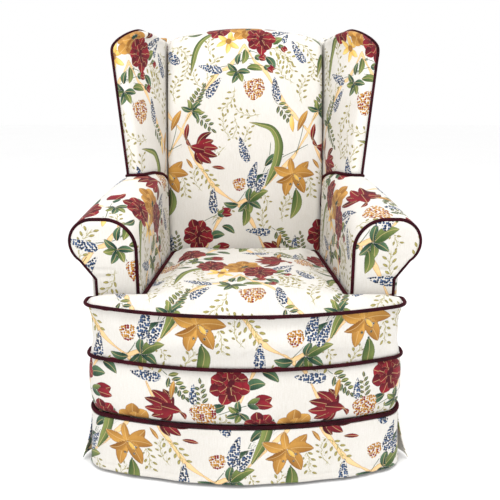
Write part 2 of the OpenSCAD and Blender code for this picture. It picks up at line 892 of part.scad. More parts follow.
front_rail();
rear_rail();
side_rail_left();
side_rail_right();
corner_blocks();
corner_block_screws();
front_legs();
glides();
back_post_left();
back_post_right();
crest_rail();
tacking_rail();
arm_stump_left();
arm_stump_right();
arm_board_left();
arm_board_right();
wing_post_left();
wing_post_right();
wing_rail_left();
wing_rail_right();
seat_springs();
spring_clips();
seat_deck();
back_webbing();
dust_cover();
inside_back();
outside_back();
wing_left();
wing_right();
outside_wing_left();
outside_wing_right();
arm_left();
arm_right();
arm_facing_left();
arm_facing_right();
outside_arm_left();
outside_arm_right();
front_border();
skirt_front();
skirt_left();
skirt_right();
skirt_back();
kick_pleats();
wing_piping_left();
wing_piping_right();
arm_joint_piping_left();
arm_joint_piping_right();
facing_piping_left();
facing_piping_right();
base_piping();
cushion_core();
cushion_cover();
cushion_piping_top();
cushion_piping_bottom();
cushion_zip_tape();
cushion_zip_slider();
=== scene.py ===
"""Looks of an upholstered wing armchair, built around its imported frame.

The chair faces -Y, +X is to the right of someone looking at its front, and +Z is up. Every size is in metres.
"""
from __future__ import annotations

import logging
import math
from dataclasses import dataclass, field
from enum import Enum
from typing import Sequence

import bmesh
import bpy
import numpy as np
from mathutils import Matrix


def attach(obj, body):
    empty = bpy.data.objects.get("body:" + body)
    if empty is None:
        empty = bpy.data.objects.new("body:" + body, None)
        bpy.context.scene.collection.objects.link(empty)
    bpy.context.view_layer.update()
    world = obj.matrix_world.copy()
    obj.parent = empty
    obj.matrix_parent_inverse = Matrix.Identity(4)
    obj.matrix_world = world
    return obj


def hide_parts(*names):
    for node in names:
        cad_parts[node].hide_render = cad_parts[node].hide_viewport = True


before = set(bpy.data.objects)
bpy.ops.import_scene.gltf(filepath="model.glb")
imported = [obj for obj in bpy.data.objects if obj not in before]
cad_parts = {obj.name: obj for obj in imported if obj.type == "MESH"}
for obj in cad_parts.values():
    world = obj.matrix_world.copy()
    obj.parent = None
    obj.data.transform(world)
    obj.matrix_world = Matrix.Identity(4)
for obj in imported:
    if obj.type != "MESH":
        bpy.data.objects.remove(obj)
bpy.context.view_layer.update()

LOG = logging.getLogger("wing_chair")
Array = np.ndarray


# ---------------------------------------------------------------- small surface tools

def smooth_step(x: Array | float) -> Array:
    """Ease from 0 to 1: 3x^2 - 2x^3 with x held between 0 and 1.

    Args:
        x: where along the step.
    Returns:
        The eased value.
    """
    t = np.clip(x, 0.0, 1.0)
    return t * t * (3.0 - 2.0 * t)


def resample(path: Array, step: float) -> Array:
    """Points at even spacing along a polyline, straight between its points.

    Args:
        path: (n, k) points.
        step: wanted spacing.
    Returns:
        (m, k) points, ends kept.
    """
    run = np.concatenate([[0.0], np.cumsum(np.linalg.norm(np.diff(path, axis=0), axis=1))])
    count = max(2, int(round(run[-1] / step)) + 1)
    at = np.linspace(0.0, run[-1], count)
    return np.stack([np.interp(at, run, path[:, k]) for k in range(path.shape[1])], -1)


def spline(points: Sequence[Sequence[float]], step: float) -> Array:
    """A Catmull-Rom curve through points, sampled evenly.

    Each span is the cubic through its two ends whose end slopes are half of the chord between the neighbours.

    Args:
        points: the points it passes through.
        step: spacing of the samples.
    Returns:
        (m, k) points.
    """
    p = np.asarray(points, float)
    p = np.vstack([2 * p[0] - p[1], p, 2 * p[-1] - p[-2]])
    t = np.linspace(0.0, 1.0, 24, endpoint=False)[:, None]
    spans = []
    for a, b, c, d in zip(p[:-3], p[1:-2], p[2:-1], p[3:]):
        spans.append(0.5 * (2 * b + (c - a) * t + (2 * a - 5 * b + 4 * c - d) * t ** 2
                            + (3 * b - a - 3 * c + d) * t ** 3))
    spans.append(p[-2][None])
    return resample(np.vstack(spans), step)


def run_lengths(points: Array, axis: int) -> Array:
    """Distance travelled along one axis of a grid of points, from its first row.

    Args:
        points: (n, m, 3) grid.
        axis: 0 or 1.
    Returns:
        (n, m) distances.
    """
    legs = np.linalg.norm(np.diff(points, axis=axis), axis=-1)
    pad = [(0, 0), (0, 0)]
    pad[axis] = (1, 0)
    return np.pad(np.cumsum(legs, axis=axis), pad)


def grid_quads(rows: int, cols: int, wrap: bool = False) -> Array:
    """Quads that join a grid of points, row by row.

    Args:
        rows: number of rows.
        cols: number of points in a row.
        wrap: whether each row closes on itself.
    Returns:
        (k, 4) point numbers.
    """
    i, j = np.meshgrid(np.arange(rows - 1), np.arange(cols if wrap else cols - 1), indexing="ij")
    after = (j + 1) % cols
    return np.stack([i * cols + j, i * cols + after, (i + 1) * cols + after, (i + 1) * cols + j],
                    -1).reshape(-1, 4)


def rung_quads(start: int, count: int) -> Array:
    """Quads that close a ring like the rungs of a ladder between its two halves.

    Args:
        start: number of the ring's first point.
        count: how many points it has; even.
    Returns:
        (k, 4) point numbers.
    """
    j = np.arange(count // 2 - 1)
    return start + np.stack([j, j + 1, count - 2 - j, count - 1 - j], -1)


@dataclass
class Surface:
    """Points, faces of four points and cloth coordinates of a piece."""

    points: Array
    quads: Array
    cloth: Array | None = None

    def mirrored(self) -> "Surface":
        """The same surface on the other side of the chair, its faces turned back outwards."""
        points = self.points * np.array([-1.0, 1.0, 1.0])
        return Surface(points, self.quads[:, ::-1].copy(), self.cloth)


def loft(rings: Array) -> Surface:
    """A skin over rings of equal count, its ends closed by rungs.

    Args:
        rings: (n, m, 3) points, m even.
    Returns:
        The surface.
    """
    n, m = rings.shape[:2]
    quads = [grid_quads(n, m, wrap=True), rung_quads(0, m)[:, ::-1], rung_quads((n - 1) * m, m)]
    return Surface(rings.reshape(-1, 3), np.vstack(quads))


def tube(path: Array, radius: float, up: Sequence[float], loop: bool = False, sides: int = 14) -> Surface:
    """A round cord along a path.

    Each ring is a circle square to the path, whose first direction is the part of up that is square to it.

    Args:
        path: (n, 3) centreline.
        radius: of the cord.
        up: a direction that the path never follows.
        loop: whether the path closes on itself.
        sides: points in a ring.
    Returns:
        The surface.
    """
    if loop:
        ahead = np.roll(path, -1, 0) - np.roll(path, 1, 0)
    else:
        ahead = np.gradient(path, axis=0)
    ahead /= np.linalg.norm(ahead, axis=1, keepdims=True)
    first = np.asarray(up, float) - (ahead @ np.asarray(up, float))[:, None] * ahead
    first /= np.linalg.norm(first, axis=1, keepdims=True)
    second = np.cross(ahead, first)
    a = np.linspace(0.0, 2 * np.pi, sides, endpoint=False)
    ring = np.cos(a)[None, :, None] * first[:, None] + np.sin(a)[None, :, None] * second[:, None]
    rings = path[:, None] + radius * ring
    if loop:
        rings = np.vstack([rings, rings[:1]])
        n, m = rings.shape[:2]
        quads = grid_quads(n, m, wrap=True) % ((n - 1) * m)
        return Surface(rings[:-1].reshape(-1, 3), quads)
    taper = np.array([0.0, 0.55, 0.86])[:, None, None]
    rounding = radius * np.array([0.9, 0.7, 0.4])[:, None, None]
    start = path[0] + taper * (rings[:1] - path[0]) - ahead[0] * rounding
    end = path[-1] + taper[::-1] * (rings[-1:] - path[-1]) + ahead[-1] * rounding[::-1]
    return loft(np.vstack([start, rings, end]))


# ---------------------------------------------------------------- making objects

def new_object(name: str, surface: Surface) -> bpy.types.Object:
    """A mesh object at the origin, with its faces pointing outwards.

    Args:
        name: the piece's name.
        surface: its points and faces.
    Returns:
        The object, linked to the scene.
    """
    mesh = bpy.data.meshes.new(name)
    points, quads = surface.points.astype(np.float32), surface.quads.astype(np.int32)
    mesh.vertices.add(len(points))
    mesh.vertices.foreach_set("co", points.ravel())
    mesh.loops.add(quads.size)
    mesh.loops.foreach_set("vertex_index", quads.ravel())
    mesh.polygons.add(len(quads))
    mesh.polygons.foreach_set("loop_start", np.arange(0, quads.size, 4, dtype=np.int32))
    mesh.update(calc_edges=True)
    turned = bmesh.new()
    turned.from_mesh(mesh)
    bmesh.ops.recalc_face_normals(turned, faces=turned.faces)
    turned.to_mesh(mesh)
    turned.free()
    mesh.polygons.foreach_set("use_smooth", np.ones(len(mesh.polygons), bool))
    mesh.update()
    piece = bpy.data.objects.new(name, mesh)
    bpy.context.scene.collection.objects.link(piece)
    return piece


def mesh_points(piece: bpy.types.Object) -> Array:
    """The points of a piece's mesh, as (n, 3)."""
    co = np.zeros(len(piece.data.vertices) * 3, np.float32)
    piece.data.vertices.foreach_get("co", co)
    return co.reshape(-1, 3).astype(float)


# ---------------------------------------------------------------- the printed cloth

class Ink(Enum):
    """The colours of the floral cloth; each value is its place in the stored distances."""

    RIBBON = 0
    OLIVE = 1
    GREEN = 2
    BURGUNDY = 3
    GOLD = 4
    YELLOW = 5
    NAVY = 6
    FLORET = 7
    LEAF = 8


MM = 0.001
TILE_W = 370.0
TILE_H = 740.0


class Brush:
    """Draws the repeat of the cloth at given places of it, all in millimetres of cloth.

    Every shape keeps a signed distance for its ink, below zero inside. A later shape covers an earlier one:
    its own ink takes the smaller of the two distances, and all other inks take at least minus its distance.
    """

    FAR = 25.0

    def __init__(self, cloth: Array) -> None:
        """Args:
            cloth: (n, 2) cloth coordinates in metres.
        """
        self.u = cloth[:, 0] / MM
        self.v = cloth[:, 1] / MM
        count = len(cloth)
        self.ink = np.full((len(Ink), count), self.FAR)
        self.lines = np.full((3, count), self.FAR)
        self.tone = np.full(count, 0.5)
        self.at(0.0, 0.0, 0.0, 1.0)

    def at(self, u0: float, v0: float, turn: float, size: float, reach: float = 90.0) -> "Brush":
        """Moves the drawing frame to a place in the repeat.

        Args:
            u0: across the repeat.
            v0: up the repeat.
            turn: degrees, anticlockwise.
            size: scale of what is drawn.
            reach: how far from the place anything is drawn, before scaling.
        Returns:
            The brush itself.
        """
        du = (self.u - u0 + TILE_W / 2) % TILE_W - TILE_W / 2
        dv = (self.v - v0 + TILE_H / 2) % TILE_H - TILE_H / 2
        self.near = np.nonzero(du * du + dv * dv < (reach * size) ** 2)[0]
        c, s = math.cos(math.radians(turn)), math.sin(math.radians(turn))
        du, dv = du[self.near], dv[self.near]
        self.x, self.y, self.size = (c * du + s * dv) / size, (c * dv - s * du) / size, size
        return self

    def lay(self, ink: Ink, gap: Array, tone: Array | float, vein: Array | None = None) -> None:
        """Lays one shape over what is there.

        Args:
            ink: its colour.
            gap: signed distance at the near points, in the frame's scale.
            tone: from 0, dark, to 1, light.
            vein: signed distance from the line drawn down its middle.
        """
        if not len(self.near):
            return
        gap = gap * self.size
        old = self.ink[:, self.near]
        new = np.maximum(old, -gap)
        new[ink.value] = np.minimum(old[ink.value], gap)
        self.ink[:, self.near] = new
        under = self.near[gap < 1.0]
        self.tone[under] = (tone + np.zeros_like(gap))[gap < 1.0]
        self.lines[:, under] = self.FAR
        if vein is not None:
            self.lines[2, under] = (vein * self.size)[gap < 1.0]

    def petal(self, x0: float, y0: float, turn: float, length: float, width: float, ink: Ink,
              full: float = 1.0, curl: float = 0.0, tones: tuple[float, float] = (0.15, 0.85),
              veined: bool = True) -> None:
        """A petal or leaf: its half width follows sin(pi * t^full) along its length, round a curled midline.

        Args:
            x0: foot, across.
            y0: foot, up.
            turn: degrees that it points to.
            length: of the petal.
            width: at its widest.
            ink: its colour.
            full: below 1 is widest near the foot, above 1 near the tip.
            curl: sideways bow of the midline as a share of the length.
            tones: shade at the foot and at the tip.
            veined: whether a line runs down its middle.
        """
        c, s = math.cos(math.radians(turn)), math.sin(math.radians(turn))
        px, py = c * (self.x - x0) + s * (self.y - y0), c * (self.y - y0) - s * (self.x - x0)
        t = np.clip(px / length, 0.0, 1.0)
        side = py - 4.0 * curl * length * t * (1.0 - t)
        gap = np.maximum(np.abs(side) - 0.5 * width * np.sin(np.pi * t ** full) ** 0.75,
                         np.maximum(-px, px - length))
        shade = tones[0] + (tones[1] - tones[0]) * t + 0.25 * np.tanh(side / width * 3.0)
        self.lay(ink, gap, np.clip(shade, 0.0, 1.0), side if veined else None)

    def dots(self, centres: Array, radius: float, ink: Ink, tone: float) -> None:
        """Round dots: the distance to the nearest centre, less the radius.

        Args:
            centres: (k, 2) places.
            radius: of each dot.
            ink: their colour.
            tone: their shade.
        """
        if not len(self.near):
            return
        away = np.hypot(self.x[:, None] - centres[None, :, 0], self.y[:, None] - centres[None, :, 1])
        self.lay(ink, away.min(axis=1) - radius, tone)

    def _along(self, points: Sequence[Sequence[float]]) -> tuple[Array, Array]:
        """Signed distance from a curve, and how far along it the nearest place is, from 0 to 1."""
        path = spline(points, 5.0)
        a, leg = path[:-1], np.diff(path, axis=0)
        rx, ry = self.x[:, None] - a[:, 0], self.y[:, None] - a[:, 1]
        t = np.clip((rx * leg[:, 0] + ry * leg[:, 1]) / (leg ** 2).sum(1), 0.0, 1.0)
        ex, ey = rx - t * leg[:, 0], ry - t * leg[:, 1]
        away = np.hypot(ex, ey)
        best = away.argmin(axis=1)
        row = np.arange(len(best))
        sign = np.where(leg[best, 0] * ey[row, best] - leg[best, 1] * ex[row, best] < 0, -1.0, 1.0)
        return away[row, best] * sign, (best + t[row, best]) / len(leg)

    def stalk(self, points: Sequence[Sequence[float]], olive: bool = False) -> None:
        """A thin stalk, kept as signed distance from its middle.

        Args:
            points: what it passes through.
            olive: whether it is of the paler green.
        """
        if not len(self.near):
            return
        side, _ = self._along(points)
        side = side * self.size
        row = self.lines[1 if olive else 0]
        closer = np.abs(side) < np.minimum(np.abs(row[self.near]), 7.0)
        row[self.near[closer]] = side[closer]

    def band(self, points: Sequence[Sequence[float]], widths: Sequence[float], ink: Ink,
             tones: tuple[float, float] = (0.3, 0.7), veined: bool = False) -> None:
        """A ribbon or blade of changing width along a curve.

        Args:
            points: what it passes through.
            widths: its width from start to end.
            ink: its colour.
            tones: shade on its two sides.
            veined: whether a line runs along its middle.
        """
        if not len(self.near):
            return
        side, t = self._along(points)
        half = 0.5 * np.interp(t, np.linspace(0.0, 1.0, len(widths)), widths)
        share = 0.5 + 0.5 * np.clip(side / np.maximum(half, 0.5), -1.0, 1.0)
        self.lay(ink, np.abs(side) - half, tones[0] + (tones[1] - tones[0]) * share, side if veined else None)


class Motifs:
    """The flowers and leaves of the cloth, each drawn round the brush's own origin."""

    def __init__(self, brush: Brush) -> None:
        """Args:
            brush: what they are drawn with.
        """
        self.b = brush

    def lily(self, u: float, v: float, turn: float, size: float) -> None:
        """An open lily of six pointed golden petals with a dotted throat."""
        b = self.b.at(u, v, turn, size, 72)
        for k, to, length, width, curl in [
                (0, 150, 50, 23, 0.08), (1, 28, 50, 24, -0.08), (2, 88, 40, 17, 0.03),
                (3, -12, 54, 24, 0.07), (4, -118, 58, 25, -0.08), (5, -68, 56, 27, 0.06)]:
            tones = (0.62, 0.28) if k % 2 else (0.95, 0.42)
            b.petal(0, 0, to, length, width, Ink.GOLD, 0.95, curl, tones)
        b.petal(0, 0, 196, 46, 15, Ink.GOLD, 1.0, 0.12, (0.3, 0.0))
        b.petal(2, 0, -62, 24, 9, Ink.YELLOW, 1.0, 0.0, (0.35, 0.2), False)
        b.dots(np.array([[9.0, -28.0], [-10.0, -24.0], [16.0, -14.0], [2.0, -38.0]]), 2.2, Ink.GREEN, 0.2)

    def trumpet(self, u: float, v: float, turn: float, size: float) -> None:
        """A burgundy lily seen from its side: a throat that opens into five curled petals."""
        b = self.b.at(u, v, turn, size, 84)
        for to, length, width, curl, tones in [
                (70, 60, 17, 0.14, (0.5, 0.0)), (44, 52, 20, 0.06, (0.8, 0.3)), (-64, 48, 17, -0.12, (0.4, 0.1)),
                (-36, 58, 21, -0.08, (0.9, 0.35)), (16, 60, 20, 0.05, (0.3, 0.75)), (-8, 62, 19, -0.04, (0.6, 0.2))]:
            b.petal(-20, 0, to * 0.85, length, width, Ink.BURGUNDY, 1.2, curl, tones)
        b.petal(-38, 0, 0, 44, 24, Ink.BURGUNDY, 1.1, 0.0, (0.75, 0.15))
        b.petal(-34, 2, 132, 22, 10, Ink.BURGUNDY, 1.0, 0.2, (0.2, 0.7))

    def peony(self, u: float, v: float, turn: float, size: float, ink: Ink) -> None:
        """A full flower of three rounds of broad petals, each petal edged in ground."""
        b = self.b.at(u, v, turn, size, 52)
        for k in range(8):
            odd = k % 2
            b.petal(6 * math.cos(k * 0.8), 6 * math.sin(k * 0.8), 45 * k + 7 * odd, 29 + 3 * (k % 3), 25, ink,
                    1.6, 0.05, (0.0, 0.95 if odd else 0.5))
        for k in range(6):
            b.petal(0, 0, 60 * k + 20, 21 + 2 * (k % 2), 19, ink, 1.5, 0.04, (0.05, 0.8 if k % 2 else 0.35))
        b.petal(-4, -3, 60, 14, 12, ink, 1.3, 0.1, (0.9, 0.2))
        heart = Ink.GREEN if ink is Ink.GOLD else Ink.BURGUNDY
        b.dots(np.array([[0.0, 0.0], [5.0, 3.0]]), 4.0, heart, 0.05)

    def star(self, u: float, v: float, turn: float, size: float) -> None:
        """A daffodil: six narrow yellow petals round a golden cup."""
        b = self.b.at(u, v, turn, size, 42)
        for k in range(6):
            b.petal(0, 0, 60 * k + 8, 34, 13, Ink.YELLOW, 1.0, 0.05 * (-1) ** k, (0.0, 0.9))
        b.dots(np.array([[0.0, 0.0]]), 7.5, Ink.GOLD, 0.2)

    def hydrangea(self, u: float, v: float, turn: float, size: float) -> None:
        """A ragged round head; the finish breaks it into golden and burgundy florets."""
        b = self.b.at(u, v, turn, size, 48)
        k = np.arange(7)
        spot = 17.0 * np.stack([np.cos(0.9 * k), np.sin(0.9 * k)], -1) * np.where(k % 2, 1.0, 0.75)[:, None]
        b.dots(np.vstack([spot, [[0.0, 0.0]]]), 13.0, Ink.FLORET, 0.5)

    def hyacinth(self, u: float, v: float, turn: float, size: float) -> None:
        """A tapered spike; the finish breaks it into small navy and blue bells."""
        b = self.b.at(u, v, turn, size, 52)
        b.petal(0, -34, 90, 76, 25, Ink.NAVY, 0.6, 0.03, (0.2, 0.6), False)

    def blade(self, u: float, v: float, turn: float, size: float, length: float = 60.0,
              width: float = 20.0, ink: Ink = Ink.LEAF, curl: float = 0.12) -> None:
        """One leaf with its midrib."""
        b = self.b.at(u, v, turn, size, length + 10)
        b.petal(0, 0, 0, length, width, ink, 0.85, curl, (0.05, 0.75))

    def spray(self, u: float, v: float, turn: float, size: float, leaves: int = 9, bow: float = 14.0) -> None:
        """An olive twig with small leaves set alternately along a bowed stalk."""
        b = self.b.at(u, v, turn, size * 1.12, 84)
        b.stalk([(0, 0), (28, bow), (66, bow * 0.7)], olive=True)
        for k, s in enumerate(np.linspace(0.15, 1.0, leaves)):
            x, y = 66 * s, bow * 2.1 * s * (1.35 - s)
            up = 1 if k % 2 else -1
            b.stalk([(x - 6, y), (x + 4, y + 7 * up)], olive=True)
            b.petal(x + 2, y + 5 * up, 52 if k % 2 else -46, 13.0, 5.6, Ink.OLIVE, veined=False,
                    tones=(0.2, 0.9))

    def frond(self, u: float, v: float, turn: float, size: float, pairs: int = 5) -> None:
        """A dark compound leaf: pairs of pointed leaflets on a stalk."""
        b = self.b.at(u, v, turn, size, 96)
        b.stalk([(0, 0), (36, 6), (82, 0)])
        for k in range(pairs):
            x = 12 + 62 * k / pairs
            long = 25 - 2.4 * k
            b.petal(x, 3, 60, long, 10, Ink.GREEN if k % 2 else Ink.LEAF, tones=(0.0, 0.75))
            b.petal(x + 5, 2, -52, long, 10, Ink.GREEN, tones=(0.0, 0.75))
        b.petal(74, 0, 2, 20, 9, Ink.GREEN, tones=(0.0, 0.6))

    def bud(self, u: float, v: float, turn: float, size: float) -> None:
        """A closed rosebud in its green sepals."""
        b = self.b.at(u, v, turn, size, 60)
        b.stalk([(-46, -12), (-20, -4), (0, 0)])
        b.petal(-3, 0, 12, 29, 19, Ink.BURGUNDY, 1.0, 0.0, (0.0, 0.7))
        b.petal(-1, 0, -14, 27, 13, Ink.BURGUNDY, 1.0, 0.0, (0.2, 0.95))
        b.petal(-8, 0, 24, 19, 8, Ink.LEAF, tones=(0.1, 0.6), veined=False)
        b.petal(-8, 0, -28, 17, 8, Ink.GREEN, tones=(0.1, 0.6), veined=False)

    def pod(self, u: float, v: float, turn: float, size: float, ink: Ink = Ink.BURGUNDY) -> None:
        """A long closed flower."""
        b = self.b.at(u, v, turn, size, 56)
        b.petal(-8, 0, 0, 52, 14, ink, 1.1, 0.03, (0.1, 0.85))

    def sprig(self, u: float, v: float, turn: float, size: float) -> None:
        """A hanging bunch of green leaves."""
        b = self.b.at(u, v, turn, size, 56)
        for k, to in enumerate([-75, -25, 30, 80, 140]):
            b.petal(0, 0, to, 38 - 4 * (k % 2), 17, Ink.LEAF if k % 2 else Ink.GREEN, 0.9, 0.07, (0.0, 0.8))


@dataclass(frozen=True)
class FloralRepeat:
    """The whole repeat of the cloth: crossing ribbons, stalks, then leaves and flowers over them."""

    def draw(self, cloth: Array) -> Brush:
        """Draws the repeat where a piece's points lie on the cloth.

        Args:
            cloth: (n, 2) cloth coordinates in metres.
        Returns:
            The brush with all its distances.
        """
        b = Brush(cloth)
        m = Motifs(b)
        self._ribbons(b)
        self._stalks(b)
        self._twigs(m)
        self._leaves(m)
        self._flowers(m)
        return b

    @staticmethod
    def _ribbons(b: Brush) -> None:
        """The peach ribbons that cross in a tall lattice."""
        b.at(0, 330, 0, 1.0, 480)
        wide = [9, 4, 13, 8, 15, 5, 10, 14, 4, 9]
        b.band([(-2, 268), (-45, 205), (-75, 190), (-118, 135), (-165, 60), (-190, 10)], wide, Ink.RIBBON)
        b.band([(2, 262), (32, 215), (60, 190), (100, 120), (150, 55), (190, 12)], wide[::-1], Ink.RIBBON)
        b.band([(-182, 18), (-160, -40), (-125, -95), (-85, -150), (-25, -195), (15, -240), (60, -335)],
               wide, Ink.RIBBON)
        b.band([(186, 14), (165, -20), (140, -60), (90, -110), (30, -170), (-60, -220), (-120, -335)],
               wide[::-1], Ink.RIBBON)

    @staticmethod
    def _stalks(b: Brush) -> None:
        """The stalks that join the flowers."""
        b.at(0, 330, 0, 1.0, 480)
        for points in [[(25, 262), (-20, 215), (-68, 205)], [(-25, 235), (0, 250), (35, 245), (48, 225)],
                       [(-70, 205), (-130, 120), (-170, 50)], [(-15, 190), (0, 160), (5, 140)],
                       [(60, -105), (100, -65), (150, -40), (185, -22)], [(0, -160), (60, -108), (110, -60)],
                       [(-20, -190), (10, -150), (55, -110)], [(-95, -255), (-70, -225), (-42, -212)],
                       [(150, -48), (165, 5), (172, 40)], [(50, -110), (70, -60), (75, -20)]]:
            b.stalk(points)

    @staticmethod
    def _twigs(m: Motifs) -> None:
        """The faint olive twigs that fill the ground."""
        for u, v, turn, size, leaves in [
                (-110, 495, 58, 1.0, 9), (-122, 470, 110, 0.8, 7), (60, 590, -28, 1.1, 9),
                (95, 580, -60, 0.9, 8), (140, 490, 118, 1.1, 9), (165, 430, 72, 1.0, 8),
                (-30, 470, -130, 1.0, 8), (-45, 330, 100, 0.8, 7), (5, 290, 75, 0.9, 7),
                (-60, 300, 195, 0.7, 6), (-145, 245, -60, 1.1, 9), (-130, 175, 100, 0.8, 7),
                (170, 230, -80, 1.0, 8), (110, 85, 62, 1.0, 8), (70, 45, 95, 1.0, 8),
                (-95, 90, 20, 0.8, 7), (180, 640, 40, 0.9, 8), (150, 625, -50, 0.9, 8),
                (-30, 385, -105, 0.8, 7), (-100, 575, 80, 0.9, 8), (40, 395, 160, 0.9, 7),
                (-175, 580, -100, 0.9, 8), (30, 180, -60, 0.8, 7)]:
            m.spray(u, v, turn, size, leaves)

    @staticmethod
    def _leaves(m: Motifs) -> None:
        """Leaves and fronds."""
        m.frond(-158, 405, 62, 1.0, 5)
        m.frond(-150, 400, -42, 0.95, 4)
        m.frond(88, 432, -52, 0.95, 4)
        m.frond(82, 62, -48, 1.0, 5)
        m.frond(172, -20, 96, 0.8, 4)
        m.sprig(-155, 405, 20, 0.9)
        m.sprig(-22, 520, 215, 1.0)
        m.sprig(10, 142, -60, 1.15)
        m.sprig(-118, -30, 170, 0.9)
        for u, v, turn, size, length, width, ink in [
                (-22, 540, 75, 0.8, 44, 20, Ink.GREEN), (5, 530, -8, 0.9, 52, 22, Ink.LEAF),
                (15, 145, 28, 1.0, 60, 28, Ink.LEAF), (-20, 132, 172, 1.0, 44, 20, Ink.GREEN),
                (66, 222, 195, 1.0, 66, 26, Ink.GREEN), (58, 245, 32, 0.9, 74, 24, Ink.GREEN),
                (-105, 32, 12, 1.0, 46, 26, Ink.GREEN), (60, 565, -55, 1.0, 46, 22, Ink.GREEN),
                (0, 585, -100, 1.0, 44, 20, Ink.LEAF), (-68, 68, -32, 1.0, 44, 20, Ink.GREEN),
                (-125, 655, 172, 0.9, 52, 15, Ink.GREEN), (82, 605, 40, 1.0, 40, 22, Ink.LEAF),
                (0, 122, -95, 1.1, 50, 22, Ink.LEAF), (150, 178, -100, 1.1, 82, 27, Ink.LEAF),
                (-150, -10, 190, 1.0, 48, 24, Ink.GREEN), (-60, -35, -75, 1.0, 50, 20, Ink.GREEN)]:
            m.blade(u, v, turn, size, length, width, ink)
        b = m.b.at(0, 330, 0, 1.0, 480)
        b.band([(-68, 320), (-112, 306), (-142, 268), (-158, 190)], [4, 15, 17, 15, 3],
               Ink.LEAF, (0.0, 0.85), True)
        b.band([(62, -140), (90, -80), (99, -20), (80, 22), (42, 36), (12, 42)], [6, 21, 25, 25, 20, 13, 2],
               Ink.LEAF, (0.05, 0.95), True)

    @staticmethod
    def _flowers(m: Motifs) -> None:
        """Flowers, buds and berries."""
        for u, v, turn, size in [(-98, 532, 72, 1.0), (-92, 470, -35, 1.0), (92, 465, 8, 1.0),
                                 (158, 590, 28, 1.05), (-2, 290, 18, 1.05), (24, 216, -14, 1.1),
                                 (48, 196, -30, 0.9), (-92, 140, 0, 1.05), (42, 52, 84, 1.0),
                                 (104, 652, -60, 0.9), (120, 632, -20, 0.6), (150, 12, 0, 0.7)]:
            m.hyacinth(u, v, turn, size)
        m.hydrangea(28, 470, 0, 1.15)
        m.hydrangea(-16, 192, 0, 0.72)
        m.hydrangea(172, -36, 0, 1.15)
        m.trumpet(-122, 292, -14, 1.08)
        m.trumpet(80, -22, 168, 1.12)
        m.pod(-172, 325, 82, 1.0)
        m.pod(-92, 242, -8, 0.78)
        m.pod(-170, 262, -55, 0.7, Ink.GOLD)
        m.pod(100, 5, 80, 0.9, Ink.GOLD)
        m.bud(35, 562, 0, 1.05)
        m.bud(62, 534, -25, 1.0)
        m.bud(-72, 105, 10, 1.3)
        m.bud(-88, -6, 6, 1.7)
        m.bud(104, 602, -40, 0.9)
        m.pod(158, 355, 64, 1.3, Ink.GOLD)
        m.pod(140, 350, 95, 1.0, Ink.YELLOW)
        m.peony(-140, 40, 20, 1.25, Ink.BURGUNDY)
        m.peony(-72, 668, 10, 1.15, Ink.BURGUNDY)
        m.star(-48, 612, 14, 1.15)
        m.peony(6, 662, 0, 1.35, Ink.GOLD)
        m.peony(46, 620, 40, 1.2, Ink.BURGUNDY)
        m.lily(140, 222, 10, 1.18)


class ClothCoords:
    """Puts a piece's cloth coordinates and the drawn distances into its mesh."""

    INKS = ("inks_a", "inks_b", "inks_c", "inks_d")

    def __init__(self, repeat: FloralRepeat) -> None:
        """Args:
            repeat: the drawing of the cloth.
        """
        self.repeat = repeat

    @staticmethod
    def _store(piece: bpy.types.Object, name: str, values: Array) -> None:
        """Stores three numbers for every point."""
        layer = piece.data.attributes.new(name, "FLOAT_VECTOR", "POINT")
        layer.data.foreach_set("vector", np.ascontiguousarray(values, np.float32).ravel())

    def print_on(self, piece: bpy.types.Object, cloth: Array) -> None:
        """Draws the repeat on a piece.

        Args:
            piece: the piece.
            cloth: (n, 2) cloth coordinates of its points, in metres.
        """
        drawn = self.repeat.draw(cloth)
        for k in range(3):
            self._store(piece, self.INKS[k], drawn.ink[3 * k:3 * k + 3].T)
        self._store(piece, self.INKS[3], drawn.lines.T)
        self._store(piece, "cloth", np.column_stack([cloth / MM, drawn.tone]))


# ---------------------------------------------------------------- finishes

Colour = tuple[float, float, float]


def shade(red: int, green: int, blue: int) -> tuple[float, float, float, float]:
    """A colour from its red, green and blue out of 255, made linear: ((c + 0.055) / 1.055)^2.4."""
    def linear(part: int) -> float:
        """One part, made linear."""
        c = part / 255
        return c / 12.92 if c <= 0.04045 else ((c + 0.055) / 1.055) ** 2.4
    return linear(red), linear(green), linear(blue), 1.0


